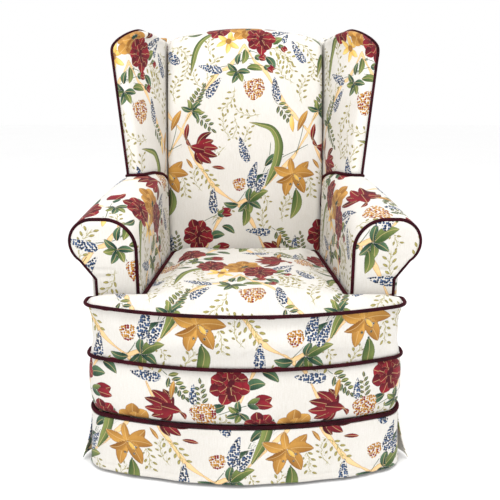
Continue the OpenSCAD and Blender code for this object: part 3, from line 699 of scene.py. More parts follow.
class Nodes:
    """Short ways to build a material's nodes."""

    def __init__(self, name: str) -> None:
        """Args:
            name: of the material.
        """
        self.material = bpy.data.materials.new(name)
        self.material.use_nodes = True
        self.tree = self.material.node_tree
        self.shader = self.tree.nodes["Principled BSDF"]

    def add(self, kind: str, **settings: object) -> bpy.types.Node:
        """A new node with its own settings."""
        node = self.tree.nodes.new(f"ShaderNode{kind}")
        for key, value in settings.items():
            setattr(node, key, value)
        return node

    def link(self, source: object, target: object) -> None:
        """Joins an output to an input, or sets the input where the source is a value."""
        if isinstance(source, bpy.types.NodeSocket):
            self.tree.links.new(source, target)
        else:
            target.default_value = source

    def math(self, operation: str, a: object, b: object = 0.0, c: object = 0.0) -> bpy.types.NodeSocket:
        """A sum or other step on numbers."""
        node = self.add("Math", operation=operation)
        for socket, value in zip(node.inputs, (a, b, c)):
            self.link(value, socket)
        return node.outputs[0]

    def spread(self, value: object, low: float, high: float, to_low: float, to_high: float,
               smooth: bool = False) -> bpy.types.NodeSocket:
        """A value taken from one span to another, held at its ends."""
        node = self.add("MapRange", interpolation_type="SMOOTHSTEP" if smooth else "LINEAR")
        for socket, item in zip(node.inputs, (value, low, high, to_low, to_high)):
            self.link(item, socket)
        return node.outputs[0]

    def mix(self, share: object, a: object, b: object, blend: str = "MIX") -> bpy.types.NodeSocket:
        """Two colours mixed."""
        node = self.add("Mix", data_type="RGBA", blend_type=blend)
        self.link(share, node.inputs[0])
        self.link(a, node.inputs[6])
        self.link(b, node.inputs[7])
        return node.outputs[2]

    def attribute(self, name: str) -> bpy.types.NodeSocket:
        """The vector of a stored attribute."""
        return self.add("Attribute", attribute_name=name).outputs["Vector"]

    def parts(self, vector: object) -> tuple[bpy.types.NodeSocket, ...]:
        """The three numbers of a vector."""
        node = self.add("SeparateXYZ")
        self.link(vector, node.inputs[0])
        return tuple(node.outputs)

    def scaled(self, vector: object, scale: tuple[float, float, float]) -> bpy.types.NodeSocket:
        """A vector multiplied along each axis."""
        node = self.add("Mapping")
        self.link(vector, node.inputs["Vector"])
        node.inputs["Scale"].default_value = scale
        return node.outputs[0]

    def place(self, scale: tuple[float, float, float] = (1.0, 1.0, 1.0)) -> bpy.types.NodeSocket:
        """The object's own coordinates, scaled."""
        return self.scaled(self.add("TexCoord").outputs["Object"], scale)

    def noise(self, vector: object, scale: float, detail: float = 3.0,
              rough: float = 0.5) -> bpy.types.NodeSocket:
        """Cloudy noise from 0 to 1."""
        node = self.add("TexNoise")
        self.link(vector, node.inputs["Vector"])
        node.inputs["Scale"].default_value = scale
        node.inputs["Detail"].default_value = detail
        node.inputs["Roughness"].default_value = rough
        return node.outputs[0]

    def cells(self, vector: object) -> tuple[bpy.types.NodeSocket, bpy.types.NodeSocket]:
        """Scattered spots in a plane: distance to the nearest, and a number from 0 to 1 for each."""
        node = self.add("TexVoronoi")
        node.voronoi_dimensions = "2D"
        node.inputs["Scale"].default_value = 1.0
        node.inputs["Randomness"].default_value = 0.75
        self.link(vector, node.inputs["Vector"])
        return node.outputs["Distance"], self.parts(node.outputs["Color"])[0]

    def bump(self, height: object, strength: float, distance: float) -> bpy.types.NodeSocket:
        """Small relief from a height."""
        node = self.add("Bump")
        node.inputs["Strength"].default_value = strength
        node.inputs["Distance"].default_value = distance
        self.link(height, node.inputs["Height"])
        return node.outputs[0]

    def finish(self, colour: object, rough: object, normal: object = None, metal: float = 0.0,
               sheen: float = 0.0, sheen_tint: tuple[float, ...] = (1.0, 1.0, 1.0, 1.0),
               specular: float = 0.5) -> bpy.types.Material:
        """Joins colour, roughness and relief to the shader and sets what is the same everywhere.

        Args:
            colour: base colour.
            rough: roughness.
            normal: relief.
            metal: how metallic.
            sheen: weight of the fuzz at grazing angles.
            sheen_tint: its colour.
            specular: level of the plain gloss.
        Returns:
            The material.
        """
        s = self.shader.inputs
        self.link(colour, s["Base Color"])
        self.link(rough, s["Roughness"])
        if normal is not None:
            self.link(normal, s["Normal"])
        s["Metallic"].default_value = metal
        s["Specular IOR Level"].default_value = specular
        s["Sheen Weight"].default_value = sheen
        s["Sheen Roughness"].default_value = 0.4
        s["Sheen Tint"].default_value = sheen_tint
        return self.material


@dataclass(frozen=True)
class FloralCloth:
    """Tapestry-woven cotton: an ecru ground with uneven vertical threads and the floral repeat."""

    ground: Colour = (222, 220, 216)
    inks: tuple[tuple[Ink, Colour, Colour], ...] = (
        (Ink.RIBBON, (236, 194, 134), (244, 212, 164)),
        (Ink.OLIVE, (136, 128, 64), (178, 170, 104)),
        (Ink.LEAF, (58, 84, 44), (142, 152, 84)),
        (Ink.GREEN, (24, 54, 44), (96, 128, 92)),
        (Ink.NAVY, (12, 26, 52), (74, 104, 150)),
        (Ink.FLORET, (150, 96, 30), (222, 164, 70)),
        (Ink.YELLOW, (216, 166, 66), (250, 220, 136)),
        (Ink.GOLD, (138, 90, 36), (206, 154, 74)),
        (Ink.BURGUNDY, (66, 8, 22), (146, 30, 44)))
    edge: float = 0.5

    def _thread(self, n: Nodes) -> tuple[bpy.types.NodeSocket, bpy.types.NodeSocket, bpy.types.NodeSocket]:
        """Slub along the warp, a fine cross weave, and the soft unevenness of the ground."""
        cloth = n.attribute("cloth")
        slub = n.noise(n.scaled(cloth, (0.75, 0.035, 0.0)), 1.0, 4.0, 0.7)
        weft = n.noise(n.scaled(cloth, (0.16, 1.1, 0.0)), 1.0, 2.0, 0.6)
        cloudy = n.noise(n.place(), 9.0, 2.0)
        return slub, weft, cloudy

    def make(self) -> bpy.types.Material:
        """Builds the material: each ink shows where its stored distance is below zero."""
        n = Nodes("floral_tapestry")
        slub, weft, cloudy = self._thread(n)
        tone = n.parts(n.attribute("cloth"))[2]
        tone = n.math("ADD", tone, n.spread(slub, 0.2, 0.8, -0.22, 0.22))
        colour = n.mix(n.spread(slub, 0.3, 0.72, 0.0, 1.0), shade(*self.ground), shade(208, 203, 194))
        colour = n.mix(n.spread(cloudy, 0.35, 0.75, 0.0, 0.35), colour, shade(236, 234, 230))
        distances = [part for name in ClothCoords.INKS[:3] for part in n.parts(n.attribute(name))]
        stalk_green, stalk_olive, vein = n.parts(n.attribute(ClothCoords.INKS[3]))
        inks = list(self.inks)
        ribbon, dark, light = inks.pop(0)
        drift = n.noise(n.scaled(n.attribute("cloth"), (0.5, 0.5, 0.0)), 1.0, 2.0)
        wobble = n.spread(drift, 0.25, 0.75, -0.7, 0.7)
        colour = self._ink(n, colour, distances[ribbon.value], tone, dark, light, wobble)
        for stalk, dye, half in ((stalk_olive, (160, 152, 94), 0.75), (stalk_green, (58, 84, 58), 0.95)):
            line = n.spread(n.math("ABSOLUTE", stalk), half - 0.4, half + 0.4, 0.9, 0.0)
            colour = n.mix(line, colour, shade(*dye))
        seed, pick = n.cells(n.scaled(n.attribute("cloth"), (0.185, 0.185, 0.0)))
        seed = n.spread(seed, 0.36, 0.62, -1.2, 1.2)
        for ink, dark, light in inks:
            gap, shading = distances[ink.value], tone
            if ink in (Ink.NAVY, Ink.FLORET):
                gap, shading = n.math("MAXIMUM", gap, seed), pick
            colour = self._ink(n, colour, gap, shading, dark, light, wobble)
            if ink is Ink.FLORET:
                inside = n.spread(gap, -self.edge, self.edge, 1.0, 0.0)
                red = n.math("MULTIPLY", n.spread(pick, 0.24, 0.27, 1.0, 0.0), inside)
                colour = n.mix(red, colour, shade(122, 20, 38))
        line = n.spread(n.math("ABSOLUTE", vein), 0.2, 1.0, 0.55, 0.0)
        colour = n.mix(line, colour, shade(226, 196, 140))
        colour = n.mix(n.spread(weft, 0.3, 0.7, 0.0, 0.35), colour,
                       n.mix(1.0, colour, shade(226, 222, 216), "MULTIPLY"))
        threads = n.math("ADD", slub, n.math("MULTIPLY", weft, 0.6))
        inked = n.math("MINIMUM", distances[3], n.math("MINIMUM", distances[4], distances[8]))
        raised = n.spread(inked, -1.0, 0.6, 0.5, 0.0)
        relief = n.bump(n.math("ADD", threads, raised), 0.35, 0.0006)
        return n.finish(colour, n.spread(slub, 0.2, 0.8, 0.78, 0.92), relief, sheen=0.12, specular=0.25)

    def _ink(self, n: Nodes, under: object, distance: object, tone: object, dark: Colour, light: Colour,
             wobble: object) -> bpy.types.NodeSocket:
        """One ink over what is under it, with a darker rim and a slightly uneven edge.

        Args:
            n: the nodes.
            under: colour under it.
            distance: signed distance of the ink, in millimetres.
            tone: from dark to light.
            dark: its darkest colour.
            light: its lightest colour.
            wobble: millimetres that the edge wanders.
        Returns:
            The colour with this ink on it.
        """
        d = n.math("ADD", distance, wobble)
        dye = n.mix(tone, shade(*dark), shade(*light))
        rim = n.spread(d, -1.9, -0.7, 0.0, 0.6)
        dye = n.mix(rim, dye, n.mix(1.0, dye, shade(168, 158, 140), "MULTIPLY"))
        return n.mix(n.spread(d, -self.edge, self.edge, 1.0, 0.0), under, dye)


@dataclass(frozen=True)
class Velvet:
    """Dark burgundy velvet on the piping: near black face on, with a crimson bloom at grazing angles."""

    deep: Colour = (17, 0, 5)
    worn: Colour = (62, 4, 20)

    def make(self) -> bpy.types.Material:
        """Builds the material."""
        n = Nodes("burgundy_velvet")
        nap = n.noise(n.place(), 420.0, 4.0, 0.7)
        wear = n.noise(n.place(), 26.0, 3.0)
        colour = n.mix(n.spread(n.math("MULTIPLY", nap, wear), 0.12, 0.42, 0.0, 1.0),
                       shade(*self.deep), shade(*self.worn))
        return n.finish(colour, n.spread(nap, 0.2, 0.8, 0.6, 0.85), n.bump(nap, 0.5, 0.0006),
                        sheen=0.14, sheen_tint=shade(220, 20, 70), specular=0.12)


@dataclass(frozen=True)
class Timber:
    """Plain sawn beech: growth lines along the grain and flecks."""

    pale: Colour = (206, 170, 122)
    dark: Colour = (160, 116, 72)

    def make(self) -> bpy.types.Material:
        """Builds the material."""
        n = Nodes("sawn_beech")
        grain = n.noise(n.place((9.0, 60.0, 60.0)), 1.0, 6.0, 0.6)
        fleck = n.noise(n.place((60.0, 400.0, 400.0)), 1.0, 3.0, 0.6)
        colour = n.mix(n.spread(grain, 0.35, 0.68, 0.0, 1.0), shade(*self.pale), shade(*self.dark))
        colour = n.mix(n.spread(fleck, 0.62, 0.74, 0.0, 0.5), colour, shade(120, 82, 46))
        relief = n.bump(n.math("ADD", grain, n.math("MULTIPLY", fleck, 0.4)), 0.4, 0.0008)
        return n.finish(colour, n.spread(grain, 0.3, 0.7, 0.5, 0.72), relief, specular=0.35)


@dataclass(frozen=True)
class Metal:
    """Drawn or cast metal with fine scratches and duller patches."""

    name: str
    bright: Colour
    dull: Colour

    def make(self) -> bpy.types.Material:
        """Builds the material."""
        n = Nodes(self.name)
        scratch = n.noise(n.place((900.0, 60.0, 900.0)), 1.0, 3.0, 0.6)
        patch = n.noise(n.place(), 55.0, 4.0)
        colour = n.mix(n.spread(patch, 0.4, 0.65, 0.0, 1.0), shade(*self.bright), shade(*self.dull))
        rough = n.math("ADD", n.spread(patch, 0.4, 0.65, 0.24, 0.46), n.math("MULTIPLY", scratch, 0.12))
        return n.finish(colour, rough, n.bump(scratch, 0.15, 0.0002), metal=1.0)


@dataclass(frozen=True)
class PlainWeave:
    """A plain woven or felted stuff, such as webbing, tape, lining, dust cover or foam."""

    name: str
    light: Colour
    dark: Colour
    pitch: float
    rough: float = 0.85

    def make(self) -> bpy.types.Material:
        """Builds the material: threads both ways, from two waves multiplied, with uneven dye."""
        n = Nodes(self.name)
        x, y, z = n.parts(n.place())
        turn = 2 * math.pi / self.pitch
        across = n.math("SINE", n.math("MULTIPLY", n.math("ADD", x, y), turn))
        along = n.math("SINE", n.math("MULTIPLY", n.math("ADD", z, n.math("MULTIPLY", y, 0.6)), turn))
        weave = n.spread(n.math("MULTIPLY", across, along), -1.0, 1.0, 0.0, 1.0)
        uneven = n.noise(n.place(), 60.0, 4.0, 0.6)
        mixed = n.math("ADD", n.math("MULTIPLY", weave, 0.55), n.math("MULTIPLY", uneven, 0.55))
        colour = n.mix(mixed, shade(*self.light), shade(*self.dark))
        return n.finish(colour, n.spread(uneven, 0.3, 0.7, self.rough - 0.08, self.rough + 0.06),
                        n.bump(mixed, 0.5, self.pitch * 0.3), sheen=0.1, specular=0.25)


@dataclass(frozen=True)
class Glide:
    """Moulded nylon, slightly scuffed."""

    def make(self) -> bpy.types.Material:
        """Builds the material."""
        n = Nodes("moulded_nylon")
        scuff = n.noise(n.place(), 240.0, 5.0, 0.7)
        colour = n.mix(n.spread(scuff, 0.4, 0.7, 0.0, 1.0), shade(30, 28, 27), shade(66, 62, 58))
        return n.finish(colour, n.spread(scuff, 0.3, 0.7, 0.38, 0.62), n.bump(scuff, 0.2, 0.0003))


class Wardrobe:
    """Every finish of the chair, made once."""

    def __init__(self) -> None:
        """Builds all the materials, by the slot that each belongs to."""
        self.floral = FloralCloth().make()
        self.velvet = Velvet().make()
        self.by_slot: dict[str, bpy.types.Material] = {
            "floral_cloth": PlainWeave("ground_lining", (230, 222, 208), (196, 184, 166), 0.0011).make(),
            "velvet_piping": self.velvet,
            "wood": Timber().make(),
            "steel": Metal("drawn_steel", (150, 150, 154), (96, 94, 92)).make(),
            "zip_metal": Metal("zip_brass", (190, 158, 96), (120, 92, 50)).make(),
            "glide": Glide().make(),
            "webbing": PlainWeave("jute_webbing", (186, 152, 104), (126, 94, 56), 0.0028).make(),
            "black_cloth": PlainWeave("dust_cloth", (34, 33, 34), (14, 14, 15), 0.0016).make(),
            "zip_tape": PlainWeave("zip_tape_weave", (74, 20, 32), (34, 8, 16), 0.0009).make(),
            "foam": PlainWeave("seat_foam", (238, 226, 184), (214, 196, 146), 0.0019, 0.92).make(),
        }
        self.lining = self.by_slot["floral_cloth"]


# ---------------------------------------------------------------- shared shape of the chair

@dataclass(frozen=True)
class ChairShape:
    """The lines that all the sub-assemblies share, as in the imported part."""

    half_w: float = 0.366
    side_y0: float = -0.300
    splay: float = math.radians(7.0)
    bow_r: float = 0.950
    front_y: float = -0.395
    corner_r: float = 0.055
    wing_z: float = 0.676
    arm_front_y: float = -0.258
    arm_in_front: float = 0.247
    arm_in_rear: float = 0.222
    arm_rear_y: float = 0.150
    pipe_r: float = 0.0042

    def side_x(self, y: Array | float) -> Array | float:
        """Outside face of the base at a depth: it comes in with the splay."""
        return self.half_w - (y - self.side_y0) * math.tan(self.splay)

    def arm_in(self, y: Array | float) -> Array | float:
        """Inside face of an arm at a depth, straight from front to rear."""
        share = (y - self.arm_front_y) / (self.arm_rear_y - self.arm_front_y)
        return self.arm_in_front + (self.arm_in_rear - self.arm_in_front) * share

    @staticmethod
    def rear_plane(z: Array | float) -> Array | float:
        """Outside of the back at a height: it leans back as it rises."""
        return 0.405 - (1.040 - z) * 0.056

    def base_line(self, y_end: float, step: float) -> tuple[Array, Array, Array]:
        """Half turn round the base: the bow, a rounded corner, then the splayed side, and their mirror image.

        Args:
            y_end: depth at which each side stops.
            step: spacing.
        Returns:
            (n, 2) points from the left rear to the right rear, their outward normals, and the run from the middle.
        """
        centre = self.front_y + self.bow_r
        rho = self.bow_r - self.corner_r
        reach = self.half_w * math.cos(self.splay) - self.corner_r - (centre - self.side_y0) * math.sin(self.splay)
        turn = self.splay + math.asin(reach / rho)
        a = np.linspace(0.0, turn, max(4, int(self.bow_r * turn / step)))
        bow = np.stack([self.bow_r * np.sin(a), centre - self.bow_r * np.cos(a), np.sin(a), -np.cos(a)], -1)
        c = np.linspace(turn - math.pi / 2, self.splay, max(8, int(self.corner_r * 1.3 / step)))[1:]
        corner = np.stack([rho * math.sin(turn) + self.corner_r * np.cos(c),
                           centre - rho * math.cos(turn) + self.corner_r * np.sin(c), np.cos(c), np.sin(c)], -1)
        last = corner[-1]
        long = max((y_end - last[1]) / math.cos(self.splay), step)
        t = np.linspace(0.0, long, max(2, int(long / step)))[1:, None]
        side = last[None, :] + t * np.array([[-math.sin(self.splay), math.cos(self.splay), 0.0, 0.0]])
        half = np.vstack([bow, corner, side])
        run = np.concatenate([[0.0], np.cumsum(np.linalg.norm(np.diff(half[:, :2], axis=0), axis=1))])
        mirror = half[1:][::-1] * np.array([-1.0, 1.0, -1.0, 1.0])
        both = np.vstack([mirror, half])
        return both[:, :2], both[:, 2:], np.concatenate([-run[1:][::-1], run])

    def cushion_plan(self, grow: float, step: float) -> Array:
        """The T-shaped plan of the cushion: a bowed front, round ears, and a rear part between the arms.

        Args:
            grow: how far outside the seam line.
            step: spacing.
        Returns:
            (n, 2) closed outline, right half then left half mirrored.
        """
        bow, corner, ear, rear_r = 0.900, 0.044, 0.370, 0.026
        rho = bow - corner
        turn = math.asin((ear - corner) / rho)
        cy = -0.405 + bow - rho * math.cos(turn)
        a = np.linspace(0.0, turn, int(bow * turn / step) + 2)[:, None]
        front = np.hstack([(bow + grow) * np.sin(a), -0.405 + bow - (bow + grow) * np.cos(a)])
        c = np.linspace(turn - math.pi / 2, 0.0, int(corner * 1.3 / step) + 4)[1:, None]
        ears = np.hstack([ear - corner + (corner + grow) * np.cos(c), cy + (corner + grow) * np.sin(c)])
        back_y = -0.272
        inner = self.arm_in(back_y) - 0.003
        q = np.linspace(0.0, math.pi / 2, 8)[:, None]
        tuck = np.hstack([ear - 0.012 + (0.012 + grow) * np.cos(q), back_y - 0.012 + (0.012 + grow) * np.sin(q)])
        rear = self.arm_in(0.140) - 0.003 - rear_r
        end = np.hstack([rear + (rear_r + grow) * np.cos(q), 0.140 - rear_r + (rear_r + grow) * np.sin(q)])
        notch = np.array([[inner + grow + 0.004, back_y + grow], [inner + grow, back_y + grow + 0.004]])
        half = np.vstack([front[1:], ears, tuck, notch, end, [[0.004, 0.140 + grow]]])
        half = resample(half, step)
        return np.vstack([half, half[::-1] * np.array([-1.0, 1.0])])

    def nose(self, z: Array) -> tuple[Array, Array]:
        """Middle of the rounded front edge of a wing: it moves out and back with height, then curls over."""
        t = np.clip((z - self.wing_z) / (1.000 - self.wing_z), 0.0, 1.0)
        over = np.maximum(0.0, z - 0.985) / 0.059
        return 0.292 + 0.044 * t - 0.046 * over ** 2, 0.014 + 0.084 * t + 0.060 * over ** 2

    def back_face(self, z: Array | float) -> Array:
        """Front of the inside back at a height, from its side profile."""
        return np.interp(z, [0.29, 0.47, 0.62, 0.76, 0.90, 0.99, 1.034, 1.066],
                         [0.148, 0.150, 0.163, 0.190, 0.224, 0.250, 0.272, 0.335])

    def arm_outline(self, y: float, inset: float, foot_z: float, step: float = 0.003) -> Array:
        """The outline of an arm at a depth: up its inner face, over the roll in two arcs, in to the neck, down.

        Args:
            y: depth.
            inset: how far inside the face of the arm.
            foot_z: height at which it stops.
            step: rough spacing; the number of points doesn't change with depth.
        Returns:
            (n, 2) points in x and z.
        """
        at = [-0.258, -0.020, 0.050, 0.110, 0.150]
        yy = min(y, 0.150)
        tuck = 0.0075 * float(smooth_step((y - 0.130) / 0.035))
        top = float(np.interp(yy, at, [0.607, 0.662, 0.672, 0.667, 0.652])) - inset
        inner = float(self.arm_in(yy)) + inset + tuck
        outer = float(np.interp(yy, at, [0.406, 0.342, 0.323, 0.309, 0.299])) - inset
        ra = float(np.interp(yy, at, [0.076, 0.054, 0.048, 0.040, 0.034])) - inset
        rb = float(np.interp(yy, at, [0.057, 0.041, 0.036, 0.032, 0.028])) - inset
        neck = min(float(self.side_x(y)) - 0.0103, outer) - inset
        neck_z = float(np.interp(yy, at, [0.462, 0.557, 0.585, 0.590, 0.582]))
        n_in, n_a, n_b = int(0.27 / step), int(0.12 / step), int(0.14 / step)
        up = np.stack([np.full(n_in, inner), np.linspace(foot_z, top - ra, n_in)], -1)
        a = np.radians(np.linspace(180, 90, n_a))[1:]
        b = np.radians(np.linspace(90, -54, n_b))
        arc_a = np.stack([inner + ra + ra * np.cos(a), top - ra + ra * np.sin(a)], -1)
        arc_b = np.stack([outer - rb + rb * np.cos(b), top - rb + rb * np.sin(b)], -1)
        if arc_b[0, 0] < arc_a[-1, 0]:
            arc_b[:, 0] += (arc_a[-1, 0] - arc_b[0, 0] + 0.0004) * np.linspace(1.0, 0.0, n_b)
        t = np.linspace(0.0, 1.0, 12)[1:, None]
        hollow = arc_b[-1] + t * (np.array([neck, neck_z]) - arc_b[-1])
        n_out = int(0.19 / step)
        down = np.stack([np.full(n_out, neck), np.linspace(neck_z, foot_z, n_out + 1)[1:]], -1)
        ring = np.vstack([up, arc_a, arc_b, hollow, down])
        if len(ring) % 2:
            ring = np.vstack([ring, [0.5 * (ring[-1] + ring[0])]])
        return ring


SHAPE = ChairShape()


class Side(Enum):
    """Left and right as seen from the front."""

    LEFT = -1
    RIGHT = 1

    @property
    def word(self) -> str:
        """The end of a piece's name."""
        return self.name.lower()


class Workshop:
    """Makes pieces, dresses them and reports them."""

    def __init__(self) -> None:
        """Mixes the finishes."""
        self.wardrobe = Wardrobe()
        self.cloth = ClothCoords(FloralRepeat())

    def upholster(self, name: str, surface: Surface, nodes: Sequence[str], body: str = "root",
                  side: Side = Side.RIGHT, fill: float | None = 0.9) -> bpy.types.Object:
        """Makes a piece of the floral cloth.

        Args:
            name: the piece's name.
            surface: its shape, with cloth coordinates, made for the right side.
            nodes: CAD nodes it stands for.
            body: the body it rides on.
            side: mirrored if left.
            fill: how tightly it is padded, or None where it isn't; not used.
        Returns:
            The piece.
        """
        if side is Side.LEFT:
            surface = surface.mirrored()
        piece = new_object(name, surface)
        if len(piece.data.vertices) != len(surface.points):
            raise RuntimeError(f"{name}: points were merged, so the cloth can't be laid on it")
        self.cloth.print_on(piece, surface.cloth)
        piece.data.materials.append(self.wardrobe.floral)
        self.declare(piece, nodes, "floral_cloth", body, fill)
        return piece

    def declare(self, piece: bpy.types.Object, nodes: Sequence[str], slot: str, body: str = "root",
                fill: float | None = None) -> None:
        """Hides the CAD parts that a piece stands for, hangs it on the body it rides on and logs it."""
        if nodes:
            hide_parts(*nodes)
        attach(piece, body)
        LOG.info("%s: %d faces, on %s", piece.name, len(piece.data.polygons), body)

    def piping(self, name: str, path: Array, nodes: Sequence[str], up: Sequence[float], loop: bool = False,
               body: str = "root", side: Side = Side.RIGHT) -> bpy.types.Object:
        """Makes a velvet-covered piping cord along a path."""
        surface = tube(path, SHAPE.pipe_r, up, loop)
        if side is Side.LEFT:
            surface = surface.mirrored()
        piece = new_object(name, surface)
        piece.data.materials.append(self.wardrobe.velvet)
        self.declare(piece, nodes, "velvet_piping", body)
        return piece


def slab(face: Array, rear: Array, cloth: Array) -> Surface:
    """A thin closed piece with a face and a rear, joined round its rim.

    Each ring runs along a row of the face and back along the same row of the rear.

    Args:
        face: (n, m, 3) points.
        rear: (n, m, 3) points.
        cloth: (n, m, 2) cloth coordinates of the face.
    Returns:
        The surface.
    """
    rings = np.concatenate([face, rear[:, ::-1]], axis=1)
    surface = loft(rings)
    surface.cloth = np.concatenate([cloth, cloth[:, ::-1]], axis=1).reshape(-1, 2)
    return surface


def pillow(rows: int, cols: int, rim_rows: float = 5.0, rim_cols: float = 5.0) -> Array:
    """How far a panel has risen from its rim: a quarter round in over a few points from each edge, from 0 to 1."""
    i = np.minimum(np.arange(rows), np.arange(rows)[::-1]) / rim_rows
    j = np.minimum(np.arange(cols), np.arange(cols)[::-1]) / rim_cols
    rise = [np.sqrt(np.clip(1.0 - (1.0 - np.minimum(k, 1.0)) ** 2, 0.0, 1.0)) for k in (i, j)]
    return rise[0][:, None] * rise[1][None, :]


# ---------------------------------------------------------------- sub-assemblies

@dataclass
class Back:
    """The tight inside back, rolled over the crest, and the outside back panel."""

    shop: Workshop
    step: float = 0.0026
    half_w: float = 0.228
    edge_r: float = 0.020
    puff: float = 0.010
    crest_drop: float = 0.034
    outer_half_w: float = 0.283
    tile_u: float = 0.0
    tile_v: float = 0.005

    def build(self) -> None:
        """Makes both pieces."""
        self._inside()
        self._outside()

    def crest(self, x: Array) -> Array:
        """How far the crest has dropped at x: a circle's arc that falls by crest_drop at the seams."""
        r = (self.half_w ** 2 + self.crest_drop ** 2) / (2 * self.crest_drop)
        return r - np.sqrt(r * r - x * x)

    def _inside(self) -> None:
        """A side profile carried across the width.

        Across the width the front is drawn back by a quarter round near each seam and swells in the middle,
        and the crest falls with the arc.
        """
        front = spline([(0.152, 0.293), (0.150, 0.380), (0.150, 0.470), (0.163, 0.620), (0.190, 0.760),
                        (0.224, 0.900), (0.248, 0.985), (0.268, 1.034), (0.298, 1.060), (0.335, 1.066),
                        (0.368, 1.060), (0.389, 1.046)], self.step)
        rear = resample(np.array([(0.389, 1.046), (0.394, 1.014), (0.353, 1.012), (0.315, 0.300),
                                  (0.170, 0.293), (0.152, 0.293)]), 0.02)[1:-1]
        ring = np.vstack([front, rear])
        if len(ring) % 2:
            ring = np.vstack([ring[:-1], [0.5 * (ring[-2] + ring[-1])], ring[-1:]])
        run = np.concatenate([[0.0], np.cumsum(np.linalg.norm(np.diff(ring, axis=0), axis=1))])
        x = np.linspace(-self.half_w, self.half_w, int(2 * self.half_w / self.step))
        yy, zz = ring[:, 0][None, :] + 0 * x[:, None], ring[:, 1][None, :] + 0 * x[:, None]
        near = np.clip((np.abs(x) - (self.half_w - self.edge_r)) / self.edge_r, 0.0, 1.0)
        back_off = (self.edge_r * (1.0 - np.sqrt(1.0 - near ** 2 * 0.98)))[:, None]
        is_front = (np.arange(len(ring)) < len(front))[None, :]
        high = smooth_step((zz - 0.960) / 0.10)
        swell = self.puff * (1.0 - (x / self.half_w) ** 2)[:, None] * smooth_step((zz - 0.40) / 0.2) \
            * (1.0 - 0.8 * high)
        y = yy + is_front * (back_off * (1.0 - 0.7 * high) - swell)
        z = zz - self.crest(x)[:, None] * smooth_step((zz - 0.86) / 0.18) - is_front * back_off * high * 0.7
        rings = np.stack([x[:, None] + 0 * y, y, z], -1)
        surface = loft(rings)
        cloth = np.stack([x[:, None] + self.tile_u + 0 * y, run[None, :] - 0.140 + self.tile_v + 0 * y], -1)
        surface.cloth = cloth.reshape(-1, 2)
        self.shop.upholster("inside_back_cover", surface, ["inside_back"])

    def _outside(self) -> None:
        """A flat panel on the raked rear plane, its corners following the crest, with a soft rim."""
        step = 0.005
        z = np.linspace(0.160, 1.040, int(0.88 / step))
        t = np.linspace(-1.0, 1.0, int(0.57 / step))
        x = self.outer_half_w * t[None, :] + 0 * z[:, None]
        drop = 0.030 * (x / self.outer_half_w) ** 2 * smooth_step((z[:, None] - 0.80) / 0.24)
        zz = z[:, None] - drop
        rise = pillow(len(z), len(t), 3.0, 3.0)
        rear = np.stack([x, SHAPE.rear_plane(zz) - 0.006, zz], -1)
        face = np.stack([x, SHAPE.rear_plane(zz) - 0.003 + 0.003 * rise, zz], -1)
        cloth = np.stack([-x + 0.06, zz - 0.35], -1)
        self.shop.upholster("outside_back_cover", slab(face, rear, cloth), ["outside_back"], fill=None)


